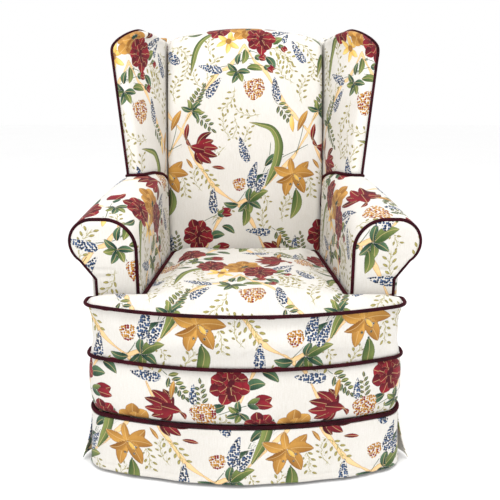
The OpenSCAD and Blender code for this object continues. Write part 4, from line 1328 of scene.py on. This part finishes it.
@dataclass
class Wing:
    """One wing: its padded inside and rounded nose, the outside panel, and the piping down its edge."""

    shop: Workshop
    side: Side
    step: float = 0.003
    nose_r: float = 0.020
    swell: float = 0.009
    top_r: float = 0.018

    def build(self) -> None:
        """Makes the cover, the outside panel and the piping."""
        self._cover()
        self._outside()
        self._shoulder()
        self._piping()

    def _ring(self, z: float, count: tuple[int, int, int] = (54, 24, 40)) -> Array:
        """The outline of the wing at a height: inner face, nose arc, outer face, rear.

        The inner face runs from the seam beside the back to the nose and swells between them as 4t(1 - t).
        """
        cx, cy = (float(k) for k in SHAPE.nose(np.array(z)))
        t = float(np.clip((z - SHAPE.wing_z) / 0.324, 0.0, 1.0))
        seam = np.array([0.2315 + 0.0055 * t, float(SHAPE.back_face(min(z, 1.034))) + 0.012])
        turn = math.atan2(seam[1] - cy, seam[0] - cx)
        a = turn + math.pi / 2 + np.linspace(0.0, math.radians(165), count[1])
        arc = np.stack([cx + self.nose_r * np.cos(a), cy + self.nose_r * np.sin(a)], -1)
        s = np.linspace(0.0, 1.0, count[0])[:-1, None]
        bow = np.array([math.cos(turn + math.pi / 2), math.sin(turn + math.pi / 2)])
        inner = seam + (arc[0] - seam) * s + bow * self.swell * 4 * s * (1 - s)
        rear_y = float(SHAPE.rear_plane(z)) - 0.052
        outer_rear = np.array([0.277 + 0.004 * t, rear_y])
        s = np.linspace(0.0, 1.0, count[2])[1:, None]
        outer = arc[-1] + (outer_rear - arc[-1]) * s
        s = np.linspace(0.0, 1.0, 9)[1:, None]
        rear = outer_rear + (np.array([seam[0], rear_y]) - outer_rear) * s
        ring = np.vstack([inner, arc, outer, rear])
        return ring if len(ring) % 2 == 0 else np.vstack([ring, [0.5 * (ring[-1] + ring[0])]])

    def _cover(self) -> None:
        """Rings stacked with height; over the top each shrinks towards its own middle by a quarter round."""
        low = np.arange(0.610, 0.985, self.step)
        over = np.linspace(0.985, 1.0445, 26)
        z = np.concatenate([low, over])
        rings = np.stack([self._ring(float(h)) for h in z])
        ahead = np.roll(rings, -1, 1) - np.roll(rings, 1, 1)
        normal = np.stack([ahead[..., 1], -ahead[..., 0]], -1)
        normal /= np.linalg.norm(normal, axis=-1, keepdims=True)
        middle = rings.mean(axis=1, keepdims=True)
        outward = np.sign(((rings - middle) * normal).sum(-1).mean())
        top = np.clip((z - 1.0265) / self.top_r, 0.0, 1.0)
        inward = self.top_r * 0.93 * (1.0 - np.sqrt(1.0 - top ** 2))
        flat = rings - outward * normal * inward[:, None, None]
        zz = z[:, None] + 0 * flat[..., 0]
        dip = smooth_step((flat[..., 1] - 0.16) / 0.12) * smooth_step((zz - 0.96) / 0.08)
        zz = zz - 0.010 * dip
        points = np.concatenate([flat, zz[..., None]], -1)
        surface = loft(points)
        run = run_lengths(points, 1)
        sign = self.side.value
        place_u, place_v = (0.186, 0.362) if sign < 0 else (0.180, 0.385)
        cloth = np.stack([sign * run + place_u, zz - place_v], -1)
        surface.cloth = cloth.reshape(-1, 2)
        word = self.side.word
        self.shop.upholster(f"wing_cover_{word}", surface, [f"wing_{word}"], side=self.side)

    def _outside(self) -> None:
        """A thin panel from behind the nose to the outside back."""
        z = np.linspace(0.640, 1.015, 76)
        t = np.linspace(0.0, 1.0, 68)[None, :]
        cx, cy = SHAPE.nose(z)
        rear_y = SHAPE.rear_plane(z) - 0.009
        x0 = (cx + self.nose_r + 0.0035)[:, None]
        x1 = (0.286 + 0.004 * np.clip((z - 0.676) / 0.324, 0, 1))[:, None]
        x = x0 + (x1 - x0) * t
        y = (cy + 0.002)[:, None] + (rear_y - cy - 0.002)[:, None] * t
        rise = pillow(len(z), t.size, 3.0, 3.0)
        face = np.stack([x - 0.002 + 0.004 * rise, y, z[:, None] + 0 * x], -1)
        ledge = 0.016 * smooth_step((z[:, None] - 0.990) / 0.018)
        rear = np.stack([x - 0.005 - ledge, y, z[:, None] + 0 * x], -1)
        cloth = np.stack([self.side.value * (y - 0.1), z[:, None] - 0.30 + 0 * y], -1)
        word = self.side.word
        self.shop.upholster(f"outside_wing_cover_{word}", slab(face, rear, cloth), [f"outside_wing_{word}"],
                            side=self.side, fill=None)

    def _shoulder(self) -> None:
        """The pad over the end of the crest.

        Stacked rounded rectangles, (|x| / a)^4 + (|y| / b)^4 = 1, drawn in by a quarter round at the top.
        """
        round_z, round_r = 1.020, 0.0215
        z = np.concatenate([np.linspace(0.985, round_z, 12), round_z + round_r * np.sin(np.linspace(0.1, 1.5, 12))])
        drawn_in = round_r * (1.0 - np.sqrt(1.0 - np.clip((z - round_z) / 0.0216, 0.0, 1.0) ** 2))[:, None]
        a = np.linspace(0.0, math.tau, 120, endpoint=False)[None, :]
        across = np.sign(np.cos(a)) * np.abs(np.cos(a)) ** 0.5
        along = np.sign(np.sin(a)) * np.abs(np.sin(a)) ** 0.5
        x = 0.2580 + (0.0325 - drawn_in) * across
        y = (SHAPE.rear_plane(z) - 0.0345)[:, None] + (0.0300 - drawn_in) * along
        rings = np.stack([x, y, z[:, None] + 0 * x], -1)
        surface = loft(rings)
        surface.cloth = np.stack([self.side.value * x + 0.05, rings[..., 2] - y - 0.3], -1).reshape(-1, 2)
        self.shop.upholster(f"wing_shoulder_{self.side.word}", surface, [], side=self.side)

    def _piping(self) -> None:
        """The cord on the outer front of the nose, up and over the top, then back to the crest."""
        z = np.array([0.664, 0.676, 0.730, 0.790, 0.850, 0.910, 0.960, 0.985, 1.000, 1.015, 1.027, 1.036])
        cx, cy = SHAPE.nose(z)
        over = np.maximum(0.0, z - 0.985) / 0.059
        a = np.radians(18.0 + 30.0 * over)
        r = self.nose_r + 0.0025 - 0.012 * over ** 3
        up = 0.0015 * over
        side = np.stack([cx + r * np.cos(a), cy - r * np.sin(a), z + up], -1)
        top = [(0.296, 0.166, 1.0455), (0.286, 0.205, 1.0445), (0.280, 0.250, 1.041), (0.276, 0.300, 1.0375),
               (0.270, 0.335, 1.036)]
        path = spline(np.vstack([side, top]), 0.005)
        word = self.side.word
        self.shop.piping(f"wing_cord_{word}", path, [f"wing_piping_{word}"], (1.0, -0.4, 0.1), side=self.side)


@dataclass
class Arm:
    """One arm: the roll, its facing, the outside panel, and the two cords."""

    shop: Workshop
    side: Side
    step: float = 0.003
    foot_z: float = 0.286
    facing_y: float = -0.2665
    facing_puff: float = 0.0055

    def build(self) -> None:
        """Makes all the pieces of the arm."""
        self._cover()
        self._facing()
        self._outside()
        self._joint_cord()

    def _cover(self) -> None:
        """The arm's outline carried from front to rear, with a small round at the front edge."""
        y = np.concatenate([np.array([-0.2580, -0.2577, -0.2568, -0.2555]), np.arange(-0.253, 0.1901, self.step)])
        inset = 0.0035 * (1.0 - np.sqrt(1.0 - np.clip((-0.2545 - y) / 0.0035, 0.0, 1.0) ** 2))
        outline = np.stack([SHAPE.arm_outline(float(yy), float(d), self.foot_z) for yy, d in zip(y, inset)])
        share = np.clip((y + 0.258) / 0.3, 0.0, 1.0)
        full = 0.006 * np.sin(np.pi * share)
        lift = full[:, None] * smooth_step((outline[..., 1] - 0.50) / 0.1)
        rings = np.stack([outline[..., 0], y[:, None] + 0 * outline[..., 0], outline[..., 1] + lift], -1)
        surface = loft(rings)
        run = run_lengths(rings, 1)
        sign = self.side.value
        cloth = np.stack([-sign * y[:, None] + 0 * run + (0.09 if sign < 0 else -0.06), run + 0.345], -1)
        surface.cloth = cloth.reshape(-1, 2)
        word = self.side.word
        self.shop.upholster(f"arm_cover_{word}", surface, [f"arm_{word}"], side=self.side)

    def _facing(self) -> None:
        """A thin pad on the scroll-shaped front: rays from its middle to the outline, risen by a quarter round.

        Two shallow creases cross it at the neck.
        """
        outline = resample(np.vstack([SHAPE.arm_outline(-0.258, 0.0072, 0.2925),
                                      SHAPE.arm_outline(-0.258, 0.0072, 0.2925)[:1]]), 0.0032)[:-1]
        if len(outline) % 2:
            outline = outline[:-1]
        middle = np.array([0.305, 0.500])
        share = np.linspace(0.012, 1.0, 56)[:, None, None]
        flat = middle + (outline[None] - middle) * share
        rise = np.sqrt(1.0 - np.clip((share[..., 0] - 0.86) / 0.14, 0.0, 1.0) ** 2)
        height = flat[..., 1]
        low = np.exp(-((height - 0.468) / 0.006) ** 2) + 0.8 * np.exp(-((height - 0.486) / 0.005) ** 2)
        crease = 0.0016 * low * smooth_step((flat[..., 0] - 0.285) / 0.04)
        y = self.facing_y - self.facing_puff * rise + crease
        face = np.concatenate([flat[..., :1], y[..., None], flat[..., 1:]], -1)
        rear = face[-1:].copy()
        rear[..., 1] = -0.2590
        rings = np.concatenate([face, rear])
        surface = loft(rings)
        sign = self.side.value
        cloth = np.stack([sign * rings[..., 0] + (0.270 if sign < 0 else 0.088),
                          rings[..., 2] - (0.015 if sign < 0 else 0.410)], -1)
        surface.cloth = cloth.reshape(-1, 2)
        word = self.side.word
        self.shop.upholster(f"arm_facing_cover_{word}", surface, [f"arm_facing_{word}"], side=self.side)
        ring = SHAPE.arm_outline(-0.258, 0.0040, 0.2925)
        last = int(np.argmax(ring[:, 0] > 0)) + len(ring)
        path = np.stack([ring[:last, 0], np.full(len(ring[:last]), -0.2632), ring[:last, 1]], -1)
        self.shop.piping(f"facing_cord_{word}", spline(path[::3], 0.004), [f"facing_piping_{word}"],
                         (0.0, 1.0, 0.0), side=self.side)

    def _outside(self) -> None:
        """The stiff outside panel: flat on the splayed side, from the rail to under the roll."""
        y = np.linspace(-0.2570, 0.372, 128)
        top = np.interp(y, [-0.258, 0.050, 0.150, 0.190, 0.372], [0.464, 0.572, 0.600, 0.655, 0.662])
        t = np.linspace(0.0, 1.0, 84)[:, None]
        z = 0.1600 + (top[None, :] - 0.1600) * t
        front = -0.2570 - 0.0245 * (1.0 - smooth_step((z - 0.280) / 0.008))
        yy = front + (SHAPE.rear_plane(z) - 0.010 - front) * np.linspace(0.0, 1.0, len(y))[None, :]
        rise = pillow(84, len(y), 3.0, 3.0)
        x = SHAPE.side_x(yy)
        face = np.stack([x - 0.004 + 0.004 * rise, yy, z], -1)
        rear = np.stack([x - 0.0085, yy, z], -1)
        cloth = np.stack([self.side.value * yy + 0.05, z - 0.12], -1)
        word = self.side.word
        self.shop.upholster(f"outside_arm_cover_{word}", slab(face, rear, cloth), [f"outside_arm_{word}"],
                            side=self.side, fill=None)

    def _joint_cord(self) -> None:
        """The cord where the wing stands on the roll: round the wing's foot, on the surface of the arm."""
        plan = spline([(0.3165, 0.006), (0.309, -0.010), (0.292, -0.0125), (0.274, -0.004), (0.258, 0.032),
                       (0.243, 0.078), (0.231, 0.125), (0.2265, 0.150)], 0.004)
        z = np.empty(len(plan))
        for k, (x, y) in enumerate(plan):
            ring = SHAPE.arm_outline(float(y), 0.0, self.foot_z)
            top = ring[: int(len(ring) * 0.62)]
            z[k] = np.interp(x, top[:, 0] + np.arange(len(top)) * 1e-7, top[:, 1])
        lift = 0.006 * np.sin(np.pi * np.clip((plan[:, 1] + 0.258) / 0.3, 0.0, 1.0))
        path = np.column_stack([plan, np.maximum(z, 0.590) + lift + 0.0030])
        tail = np.array([[0.2268, 0.156, path[-1, 2] - 0.012], [0.2275, 0.160, path[-1, 2] - 0.036]])
        path = spline(np.vstack([path[::3], tail]), 0.004)
        word = self.side.word
        self.shop.piping(f"arm_joint_cord_{word}", path, [f"arm_joint_piping_{word}"], (0.3, -1.0, 1.0),
                         side=self.side)


@dataclass
class Base:
    """The padded front border, the skirt with its corner pleats, and the cord above it."""

    shop: Workshop
    step: float = 0.003
    hem_z: float = 0.010
    top_z: float = 0.1485
    hang: float = 0.0055
    sheet_t: float = 0.0024
    bulge: float = 0.009

    def build(self) -> None:
        """Makes the border, the cord and the skirt."""
        self._border()
        self._cord()
        self._skirt()

    def _border(self) -> None:
        """A padded band carried round the bow and the corners: its face bows out as 1 - t^2 between its seams."""
        points, normals, run = SHAPE.base_line(-0.2825, self.step)
        t = np.linspace(-1.0, 1.0, 46)
        face = np.stack([-0.002 + self.bulge * (1.0 - np.abs(t) ** 2.4) ** 0.8, 0.2240 + 0.0655 * t], -1)
        inner = np.array([[-0.012, 0.2895], [-0.030, 0.2895], [-0.048, 0.2890], [-0.048, 0.2740], [-0.030, 0.2720],
                          [-0.020, 0.2500], [-0.020, 0.2000], [-0.018, 0.1600], [-0.010, 0.1585], [-0.006, 0.1585]])
        ring = np.vstack([face, inner])
        keep = np.clip((np.abs(run).max() - np.abs(run)) / 0.010, 0.0, 1.0)
        out = np.where(ring[None, :, 0] > 0, ring[None, :, 0] * np.sqrt(keep)[:, None], ring[None, :, 0])
        xy = points[:, None, :] + normals[:, None, :] * out[..., None]
        z = ring[None, :, 1] + 0 * out
        rings = np.concatenate([xy, z[..., None]], -1)
        surface = loft(rings)
        around = run_lengths(rings, 1)
        cloth = np.stack([run[:, None] - 0.106 + 0 * around, around - 0.0635], -1)
        surface.cloth = cloth.reshape(-1, 2)
        self.shop.upholster("front_border_cover", surface, ["front_border"])

    def _cord(self) -> None:
        """The cord that closes the border and the skirt, all the way round the base."""
        points, normals, _ = SHAPE.base_line(0.350, 0.006)
        side = points + normals * 0.0043
        rear_y = SHAPE.rear_plane(0.154) + 0.0043
        x = float(side[-1, 0])
        corner = np.array([[x - 0.0008, rear_y - 0.008], [x - 0.008, rear_y]])
        across = np.stack([np.linspace(x - 0.014, 0.014 - x, 70), np.full(70, rear_y)], -1)
        plan = np.vstack([side, corner, across, corner[::-1] * np.array([-1.0, 1.0])])
        plan = resample(np.vstack([plan, plan[:1]]), 0.006)[:-1]
        path = np.column_stack([plan, np.full(len(plan), 0.1545)])
        self.shop.piping("base_cord", path, ["base_piping"], (0.0, 0.0, 1.0), loop=True)

    def _hung(self, name: str, points: Array, normals: Array, cloth_u: Array, flare: tuple[float, float],
              nodes: Sequence[str], drop: float = 0.0,
              hang: float | None = None, reach: float = 0.035) -> bpy.types.Object:
        """One lined skirt panel.

        Each point hangs straight down from the cord, then stands out by hang + flare * fall^2 near each slit,
        with two slow waves along the hem, and a stitched line presses the hem in.

        Args:
            name: of the piece.
            points: (n, 2) places along the base.
            normals: outward there.
            cloth_u: cloth coordinate along the panel.
            flare: how far its two ends stand out at the hem.
            nodes: CAD nodes it stands for.
            drop: how much shorter it is.
            hang: how far outside the base it hangs.
            reach: how far along the panel its ends stand out.
        Returns:
            The piece.
        """
        out = self.hang if hang is None else hang
        z = np.linspace(self.top_z, self.hem_z + drop, 50)
        fall = ((self.top_z - z) / (self.top_z - self.hem_z))[None, :]
        run = np.concatenate([[0.0], np.cumsum(np.linalg.norm(np.diff(points, axis=0), axis=1))])
        long = run[-1]
        ends = flare[0] * np.exp(-(run / reach) ** 1.5) + flare[1] * np.exp(-((long - run) / reach) ** 1.5)
        turns = run / long * math.tau
        wave = 0.0016 * np.sin(turns * 2.5 + 0.8) + 0.0010 * np.sin(turns * 6 + 2)
        hem = np.exp(-((z - self.hem_z - drop - 0.016) / 0.0022) ** 2)[None, :]
        g = out + ends[:, None] * fall ** 1.7 + wave[:, None] * fall - 0.0009 * hem + 0.0015 * fall
        def at(offset: Array) -> Array:
            """Points at an offset from the base."""
            xy = points[:, None, :] + normals[:, None, :] * offset[..., None]
            return np.concatenate([xy, (z[None, :] + 0 * offset)[..., None]], -1)
        cloth = np.stack([cloth_u[:, None] + 0 * g, z[None, :] + 0.0 * g + 0.124], -1)
        surface = slab(at(g + self.sheet_t / 2), at(g - self.sheet_t / 2), cloth)
        piece = self.shop.upholster(name, surface, nodes, fill=None)
        return piece

    def _skirt(self) -> None:
        """Front, side and back panels with a slit at each corner, and the pleats behind the slits."""
        points, normals, run = SHAPE.base_line(0.350, self.step)
        corner = 0.392
        front = np.abs(run) <= corner - 0.0015
        self._hung("skirt_front_panel", points[front], normals[front], run[front] + 0.046, (0.007, 0.007),
                   ["skirt_front"])
        for side in Side:
            part = side.value * run >= corner + 0.0015
            ends = (0.030, 0.009) if side is Side.RIGHT else (0.009, 0.030)
            self._hung(f"skirt_{side.word}_panel", points[part], normals[part], run[part] + 0.046, ends,
                       [f"skirt_{side.word}"], reach=0.055)
        rear_y = float(SHAPE.rear_plane(0.080))
        half = float(SHAPE.side_x(rear_y)) - 0.0015
        x = np.linspace(half, -half, int(2 * half / self.step))
        line = np.stack([x, np.full(len(x), rear_y)], -1)
        away = np.tile([[0.0, 1.0]], (len(x), 1))
        self._hung("skirt_back_panel", line, away, x, (0.006, 0.006), ["skirt_back"])
        self._pleats(points, normals, run, corner, line)

    def _pleats(self, points: Array, normals: Array, run: Array, corner: float, line: Array) -> None:
        """Lined inserts that hang behind the four slits; the first stands for them all."""
        pleats = []
        for side in Side:
            part = np.abs(side.value * run - corner) < 0.045
            pleats.append((f"kick_pleat_front_{side.word}", points[part], normals[part], run[part]))
        for side in Side:
            r = 0.020
            x0, y0 = float(line[0, 0]) - r + 0.004, float(line[0, 1]) - r + 0.004
            a = np.radians(np.linspace(7.0, 90.0, 14))
            bend = np.stack([x0 + r * np.cos(a), y0 + r * np.sin(a)], -1)
            lead = bend[0] + np.linspace(0.03, 0.0, 9, endpoint=False)[:, None] * np.array([[0.122, -0.993]])
            tail = bend[-1] + np.linspace(0.0, 0.03, 10)[1:, None] * np.array([[-1.0, 0.0]])
            plan = np.vstack([lead, bend, tail])
            ahead = np.gradient(plan, axis=0)
            out = np.stack([ahead[:, 1], -ahead[:, 0]], -1) / np.linalg.norm(ahead, axis=1, keepdims=True)
            flip = np.array([float(side.value), 1.0])
            along = np.arange(len(plan)) * 0.003
            pleats.append((f"kick_pleat_rear_{side.word}", plan * flip, out * flip, along))
        for k, (name, where, out, u) in enumerate(pleats):
            self._hung(name, where, out, u + 0.11, (0.0, 0.0), ["kick_pleats"] if k == 0 else [], 0.002,
                       hang=0.0008)


@dataclass
class SeatCushion:
    """The loose T cushion: a blown cover, its two cords, and the zip in its rear boxing."""

    shop: Workshop
    seam: float = 0.0083
    cap: float = 0.020
    voxel: float = 0.0056
    pull: float = 0.045

    def build(self) -> None:
        """Makes the cover and the cords."""
        self._core()
        self._cover()
        for name, z in (("top", 0.4200), ("bottom", 0.2960)):
            plan = SHAPE.cushion_plan(-0.0042, 0.005)
            plan = resample(np.vstack([plan, plan[:1]]), 0.005)[:-1]
            path = np.column_stack([plan, np.full(len(plan), z)])
            self.shop.piping(f"cushion_cord_{name}", path, [f"cushion_piping_{name}"], (0.0, 0.0, 1.0), True,
                             "cushion")

    def _core(self) -> None:
        """The foam block, with its edges eased so that the cover never lies on a corner."""
        inset = [-0.034, -0.027, -0.023, -0.022, -0.022, -0.022, -0.024, -0.029, -0.037]
        z = [0.2990, 0.3010, 0.3050, 0.3120, 0.3580, 0.3960, 0.4040, 0.4090, 0.4115]
        piece = new_object("seat_cushion_foam", loft(np.stack([self._ring(g, h) for g, h in zip(inset, z)])))
        piece.data.materials.append(self.shop.wardrobe.by_slot["foam"])
        self.shop.declare(piece, ["cushion_core"], "foam", "cushion", 1.0)

    def _block(self) -> Surface:
        """The cut shape: the plan stacked in rings, with its top and bottom slightly domed towards the middle."""
        inset = np.array([-0.040, -0.022, -0.012, -0.0095, -0.0083, -0.0083, -0.0083, -0.0095, -0.012, -0.022, -0.040])
        z = np.array([0.2925, 0.2925, 0.2926, 0.2940, 0.2970, 0.3575, 0.4190, 0.4220, 0.4245, 0.4290, 0.4340])
        return loft(np.stack([self._ring(float(g), float(h)) for g, h in zip(inset, z)]))

    @staticmethod
    def _ring(grow: float, z: float) -> Array:
        """One ring of the cut shape with a fixed number of points, mirrored halves in order."""
        plan = SHAPE.cushion_plan(grow, 0.006)
        half = plan[: len(plan) // 2]
        run = np.concatenate([[0.0], np.cumsum(np.linalg.norm(np.diff(half, axis=0), axis=1))])
        at = np.linspace(0.0, run[-1], 150)
        half = np.stack([np.interp(at, run, half[:, k]) for k in range(2)], -1)
        both = np.vstack([half, half[::-1] * np.array([-1.0, 1.0])])
        return np.column_stack([both, np.full(len(both), z)])

    def _seam_gap(self, points: Array) -> Array:
        """Distance from each point to the nearer of the two piped seams."""
        plan = SHAPE.cushion_plan(-self.seam, 0.004)
        near = np.full(len(points), np.inf)
        for part in np.array_split(np.arange(len(points)), max(1, len(points) // 4000)):
            d = points[part, None, :2] - plan[None]
            near[part] = np.sqrt((d ** 2).sum(-1).min(axis=1))
        top = np.hypot(near, points[:, 2] - 0.4200)
        bottom = np.hypot(near, points[:, 2] - 0.2960)
        return np.minimum(top, bottom)

    def _cover(self) -> None:
        """Blows up the remeshed block as cloth, holds it at the seams, and finishes it with one subdivision."""
        piece = new_object("seat_cushion_cover", self._block())
        bpy.context.view_layer.objects.active = piece
        remesh = piece.modifiers.new("even", "REMESH")
        remesh.mode, remesh.voxel_size, remesh.use_smooth_shade = "VOXEL", self.voxel, True
        self._apply(piece)
        rest = mesh_points(piece)
        blown = self._blow(piece)
        move = blown - rest
        gap = self._seam_gap(rest)
        ease = smooth_step(gap / self.pull)
        length = np.linalg.norm(move, axis=1)
        held = self.cap * np.tanh(length / self.cap) / np.maximum(length, 1e-9)
        move *= (held * (0.15 + 0.85 * ease) * smooth_step(gap / 0.010))[:, None]
        move[:, 2] = np.where(rest[:, 2] < 0.2945, np.maximum(move[:, 2], -0.0008), move[:, 2])
        between_arms = (np.abs(rest[:, 0]) > 0.20) & (rest[:, 1] > -0.262) & (rest[:, 1] < 0.2)
        side_limit = np.where(between_arms, 0.0045, 1.0)
        move[:, 0] = np.clip(move[:, 0], -side_limit, side_limit)
        behind = (np.abs(rest[:, 0]) > rear_half_width(rest)) & (rest[:, 1] > -0.300)
        move[:, 1] = np.where(behind, np.minimum(move[:, 1], 0.003), move[:, 1])
        move[:, 1] = np.where(rest[:, 1] > 0.10, np.minimum(move[:, 1], 0.0), move[:, 1])
        final = rest + move
        piece.data.vertices.foreach_set("co", final.astype(np.float32).ravel())
        layer = piece.data.attributes.new("cut_place", "FLOAT_VECTOR", "POINT")
        layer.data.foreach_set("vector", rest.astype(np.float32).ravel())
        finer = piece.modifiers.new("finer", "SUBSURF")
        finer.levels = finer.render_levels = 1
        self._apply(piece)
        count = len(piece.data.vertices)
        place = np.zeros(count * 3, np.float32)
        piece.data.attributes["cut_place"].data.foreach_get("vector", place)
        piece.data.attributes.remove(piece.data.attributes["cut_place"])
        self.shop.cloth.print_on(piece, self._laid(place.reshape(-1, 3).astype(float)))
        piece.data.materials.clear()
        piece.data.materials.append(self.shop.wardrobe.floral)
        self.shop.declare(piece, ["cushion_cover"], "floral_cloth", "cushion", 0.85)

    def _blow(self, piece: bpy.types.Object) -> Array:
        """Runs the cloth with inner pressure for twenty frames and returns where its points end."""
        cloth = piece.modifiers.new("filled", "CLOTH")
        s = cloth.settings
        s.quality, s.mass, s.air_damping = 5, 0.3, 2.0
        s.tension_stiffness = s.compression_stiffness = 22.0
        s.shear_stiffness, s.bending_stiffness = 8.0, 1.2
        s.use_pressure, s.uniform_pressure_force = True, 4.0
        s.effector_weights.gravity = 0.0
        scene = bpy.context.scene
        cloth.point_cache.frame_start, cloth.point_cache.frame_end = 1, 20
        for step in range(1, 21):
            scene.frame_set(step)
        shown = piece.evaluated_get(bpy.context.evaluated_depsgraph_get())
        co = np.zeros(len(shown.data.vertices) * 3, np.float32)
        shown.data.vertices.foreach_get("co", co)
        piece.modifiers.remove(cloth)
        scene.frame_set(1)
        return co.reshape(-1, 3).astype(float)

    @staticmethod
    def _apply(piece: bpy.types.Object) -> None:
        """Makes the modifiers' result the piece's own mesh."""
        shown = piece.evaluated_get(bpy.context.evaluated_depsgraph_get())
        mesh = bpy.data.meshes.new_from_object(shown)
        piece.modifiers.clear()
        old = piece.data
        piece.data = mesh
        bpy.data.meshes.remove(old)
        piece.data.polygons.foreach_set("use_smooth", np.ones(len(piece.data.polygons), bool))

    @staticmethod
    def _laid(place: Array) -> Array:
        """Cloth coordinates of the cut shape: the top runs on down the front boxing; the sides turn the corner."""
        x, y, z = place.T
        front_y = -0.405 + 0.900 - np.sqrt(0.900 ** 2 - np.minimum(np.abs(x), 0.36) ** 2)
        top = z > 0.4212
        bottom = z < 0.2950
        side = ~top & ~bottom & (np.abs(x) > 0.352) & (y > front_y + 0.02)
        u = np.where(side, np.sign(x) * (0.362 + (y - front_y)), x)
        v = np.where(top, 0.4212 + (y - front_y - 0.0083), z)
        v = np.where(bottom, 0.2950 - (y - front_y), v)
        return np.stack([u + np.where(top, 0.010, 0.244), v - np.where(top, 0.016, 0.177)], -1)


def rear_half_width(rest: Array) -> Array:
    """Half width of the narrow rear part of the cushion at each point's depth."""
    return SHAPE.arm_in(rest[:, 1]) - 0.02


@dataclass
class InnerFrame:
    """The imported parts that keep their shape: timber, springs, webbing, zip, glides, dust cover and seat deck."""

    shop: Workshop
    slots: dict[str, tuple[str, ...]] = field(default_factory=lambda: {
        "wood": ("front_rail", "rear_rail", "side_rail_left", "side_rail_right", "corner_blocks", "front_legs",
                 "back_post_left", "back_post_right", "crest_rail", "tacking_rail", "arm_stump_left",
                 "arm_stump_right", "arm_board_left", "arm_board_right", "wing_post_left", "wing_post_right",
                 "wing_rail_left", "wing_rail_right"),
        "steel": ("seat_springs", "spring_clips", "corner_block_screws"),
        "zip_metal": ("cushion_zip_slider",),
        "glide": ("glides",),
        "webbing": ("back_webbing",),
        "black_cloth": ("dust_cover",),
        "zip_tape": ("cushion_zip_tape",),
        "floral_cloth": ("seat_deck",)})

    def dress(self) -> None:
        """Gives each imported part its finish."""
        for slot, nodes in self.slots.items():
            for name in nodes:
                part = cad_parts[name]
                material = self.shop.wardrobe.by_slot[slot]
                if not part.material_slots:
                    part.data.materials.append(material)
                for place in part.material_slots:
                    place.material = material
                LOG.info("%s: %s", name, material.name)


@dataclass
class Studio:
    """A pale floor, soft lights and the camera."""

    eye: tuple[float, float, float] = (0.0, -1.597, 0.889)
    tilt: float = 15.0
    lens: float = 43.2
    shift: float = 0.010

    def build(self) -> None:
        """Sets the stage."""
        self._camera()
        self._floor()
        self._lights()

    def _camera(self) -> None:
        """A camera in front of the chair at the height of its wings, tipped down."""
        data = bpy.data.cameras.new("camera")
        data.lens, data.sensor_width, data.shift_x = self.lens, 36.0, self.shift
        data.clip_start, data.clip_end = 0.05, 60.0
        camera = bpy.data.objects.new("camera", data)
        camera.location = self.eye
        camera.rotation_euler = (math.radians(90.0 - self.tilt), 0.0, 0.0)
        bpy.context.scene.collection.objects.link(camera)
        bpy.context.scene.camera = camera

    @staticmethod
    def _floor() -> None:
        """A wide plain floor."""
        corner = 14.0
        points = corner * np.array([[-1, -1, 0], [1, -1, 0], [1, 1, 0], [-1, 1, 0]])
        floor = new_object("floor", Surface(points.astype(float), np.array([[0, 1, 2, 3]])))
        n = Nodes("pale_floor")
        haze = n.noise(n.place(), 1.4, 2.0)
        n.finish(n.mix(haze, shade(252, 252, 252), shade(254, 254, 254)), 0.85, specular=0.1)
        floor.data.materials.append(n.material)

    @staticmethod
    def _lights() -> None:
        """Large soft lamps in front on both sides and above, and a bright even room."""
        for name, place, aim, size, power, tint in [
                ("key", (-1.7, -2.4, 2.3), (0.0, 0.0, 0.5), 1.8, 12.0, (1.0, 0.99, 0.98)),
                ("fill", (2.0, -2.2, 1.5), (0.0, 0.0, 0.5), 2.2, 8.0, (0.98, 0.99, 1.0)),
                ("top", (0.0, -1.2, 2.9), (0.0, 0.05, 0.5), 1.6, 42.0, (1.0, 1.0, 1.0))]:
            lamp = bpy.data.lights.new(name, "AREA")
            lamp.shape, lamp.size, lamp.energy, lamp.color = "DISK", size, power, tint
            holder = bpy.data.objects.new(name, lamp)
            holder.location = place
            reach = np.array(aim) - np.array(place)
            flat = math.hypot(reach[0], reach[1])
            heading = math.atan2(reach[1], reach[0]) - math.pi / 2
            holder.rotation_euler = (math.atan2(flat, -reach[2]), 0.0, heading)
            bpy.context.scene.collection.objects.link(holder)
        world = bpy.data.worlds.new("room")
        world.use_nodes = True
        world.node_tree.nodes["Background"].inputs[0].default_value = (1.0, 1.0, 1.0, 1.0)
        world.node_tree.nodes["Background"].inputs[1].default_value = 1.0
        bpy.context.scene.world = world
        bpy.context.scene.view_settings.view_transform = "Standard"


def main() -> None:
    """Builds the chair's looks in order."""
    logging.basicConfig(level=logging.INFO, format="%(name)s %(message)s")
    Studio().build()
    shop = Workshop()
    InnerFrame(shop).dress()
    Back(shop).build()
    for side in Side:
        Wing(shop, side).build()
        Arm(shop, side).build()
    Base(shop).build()
    SeatCushion(shop).build()


if __name__ == "__main__":
    main()
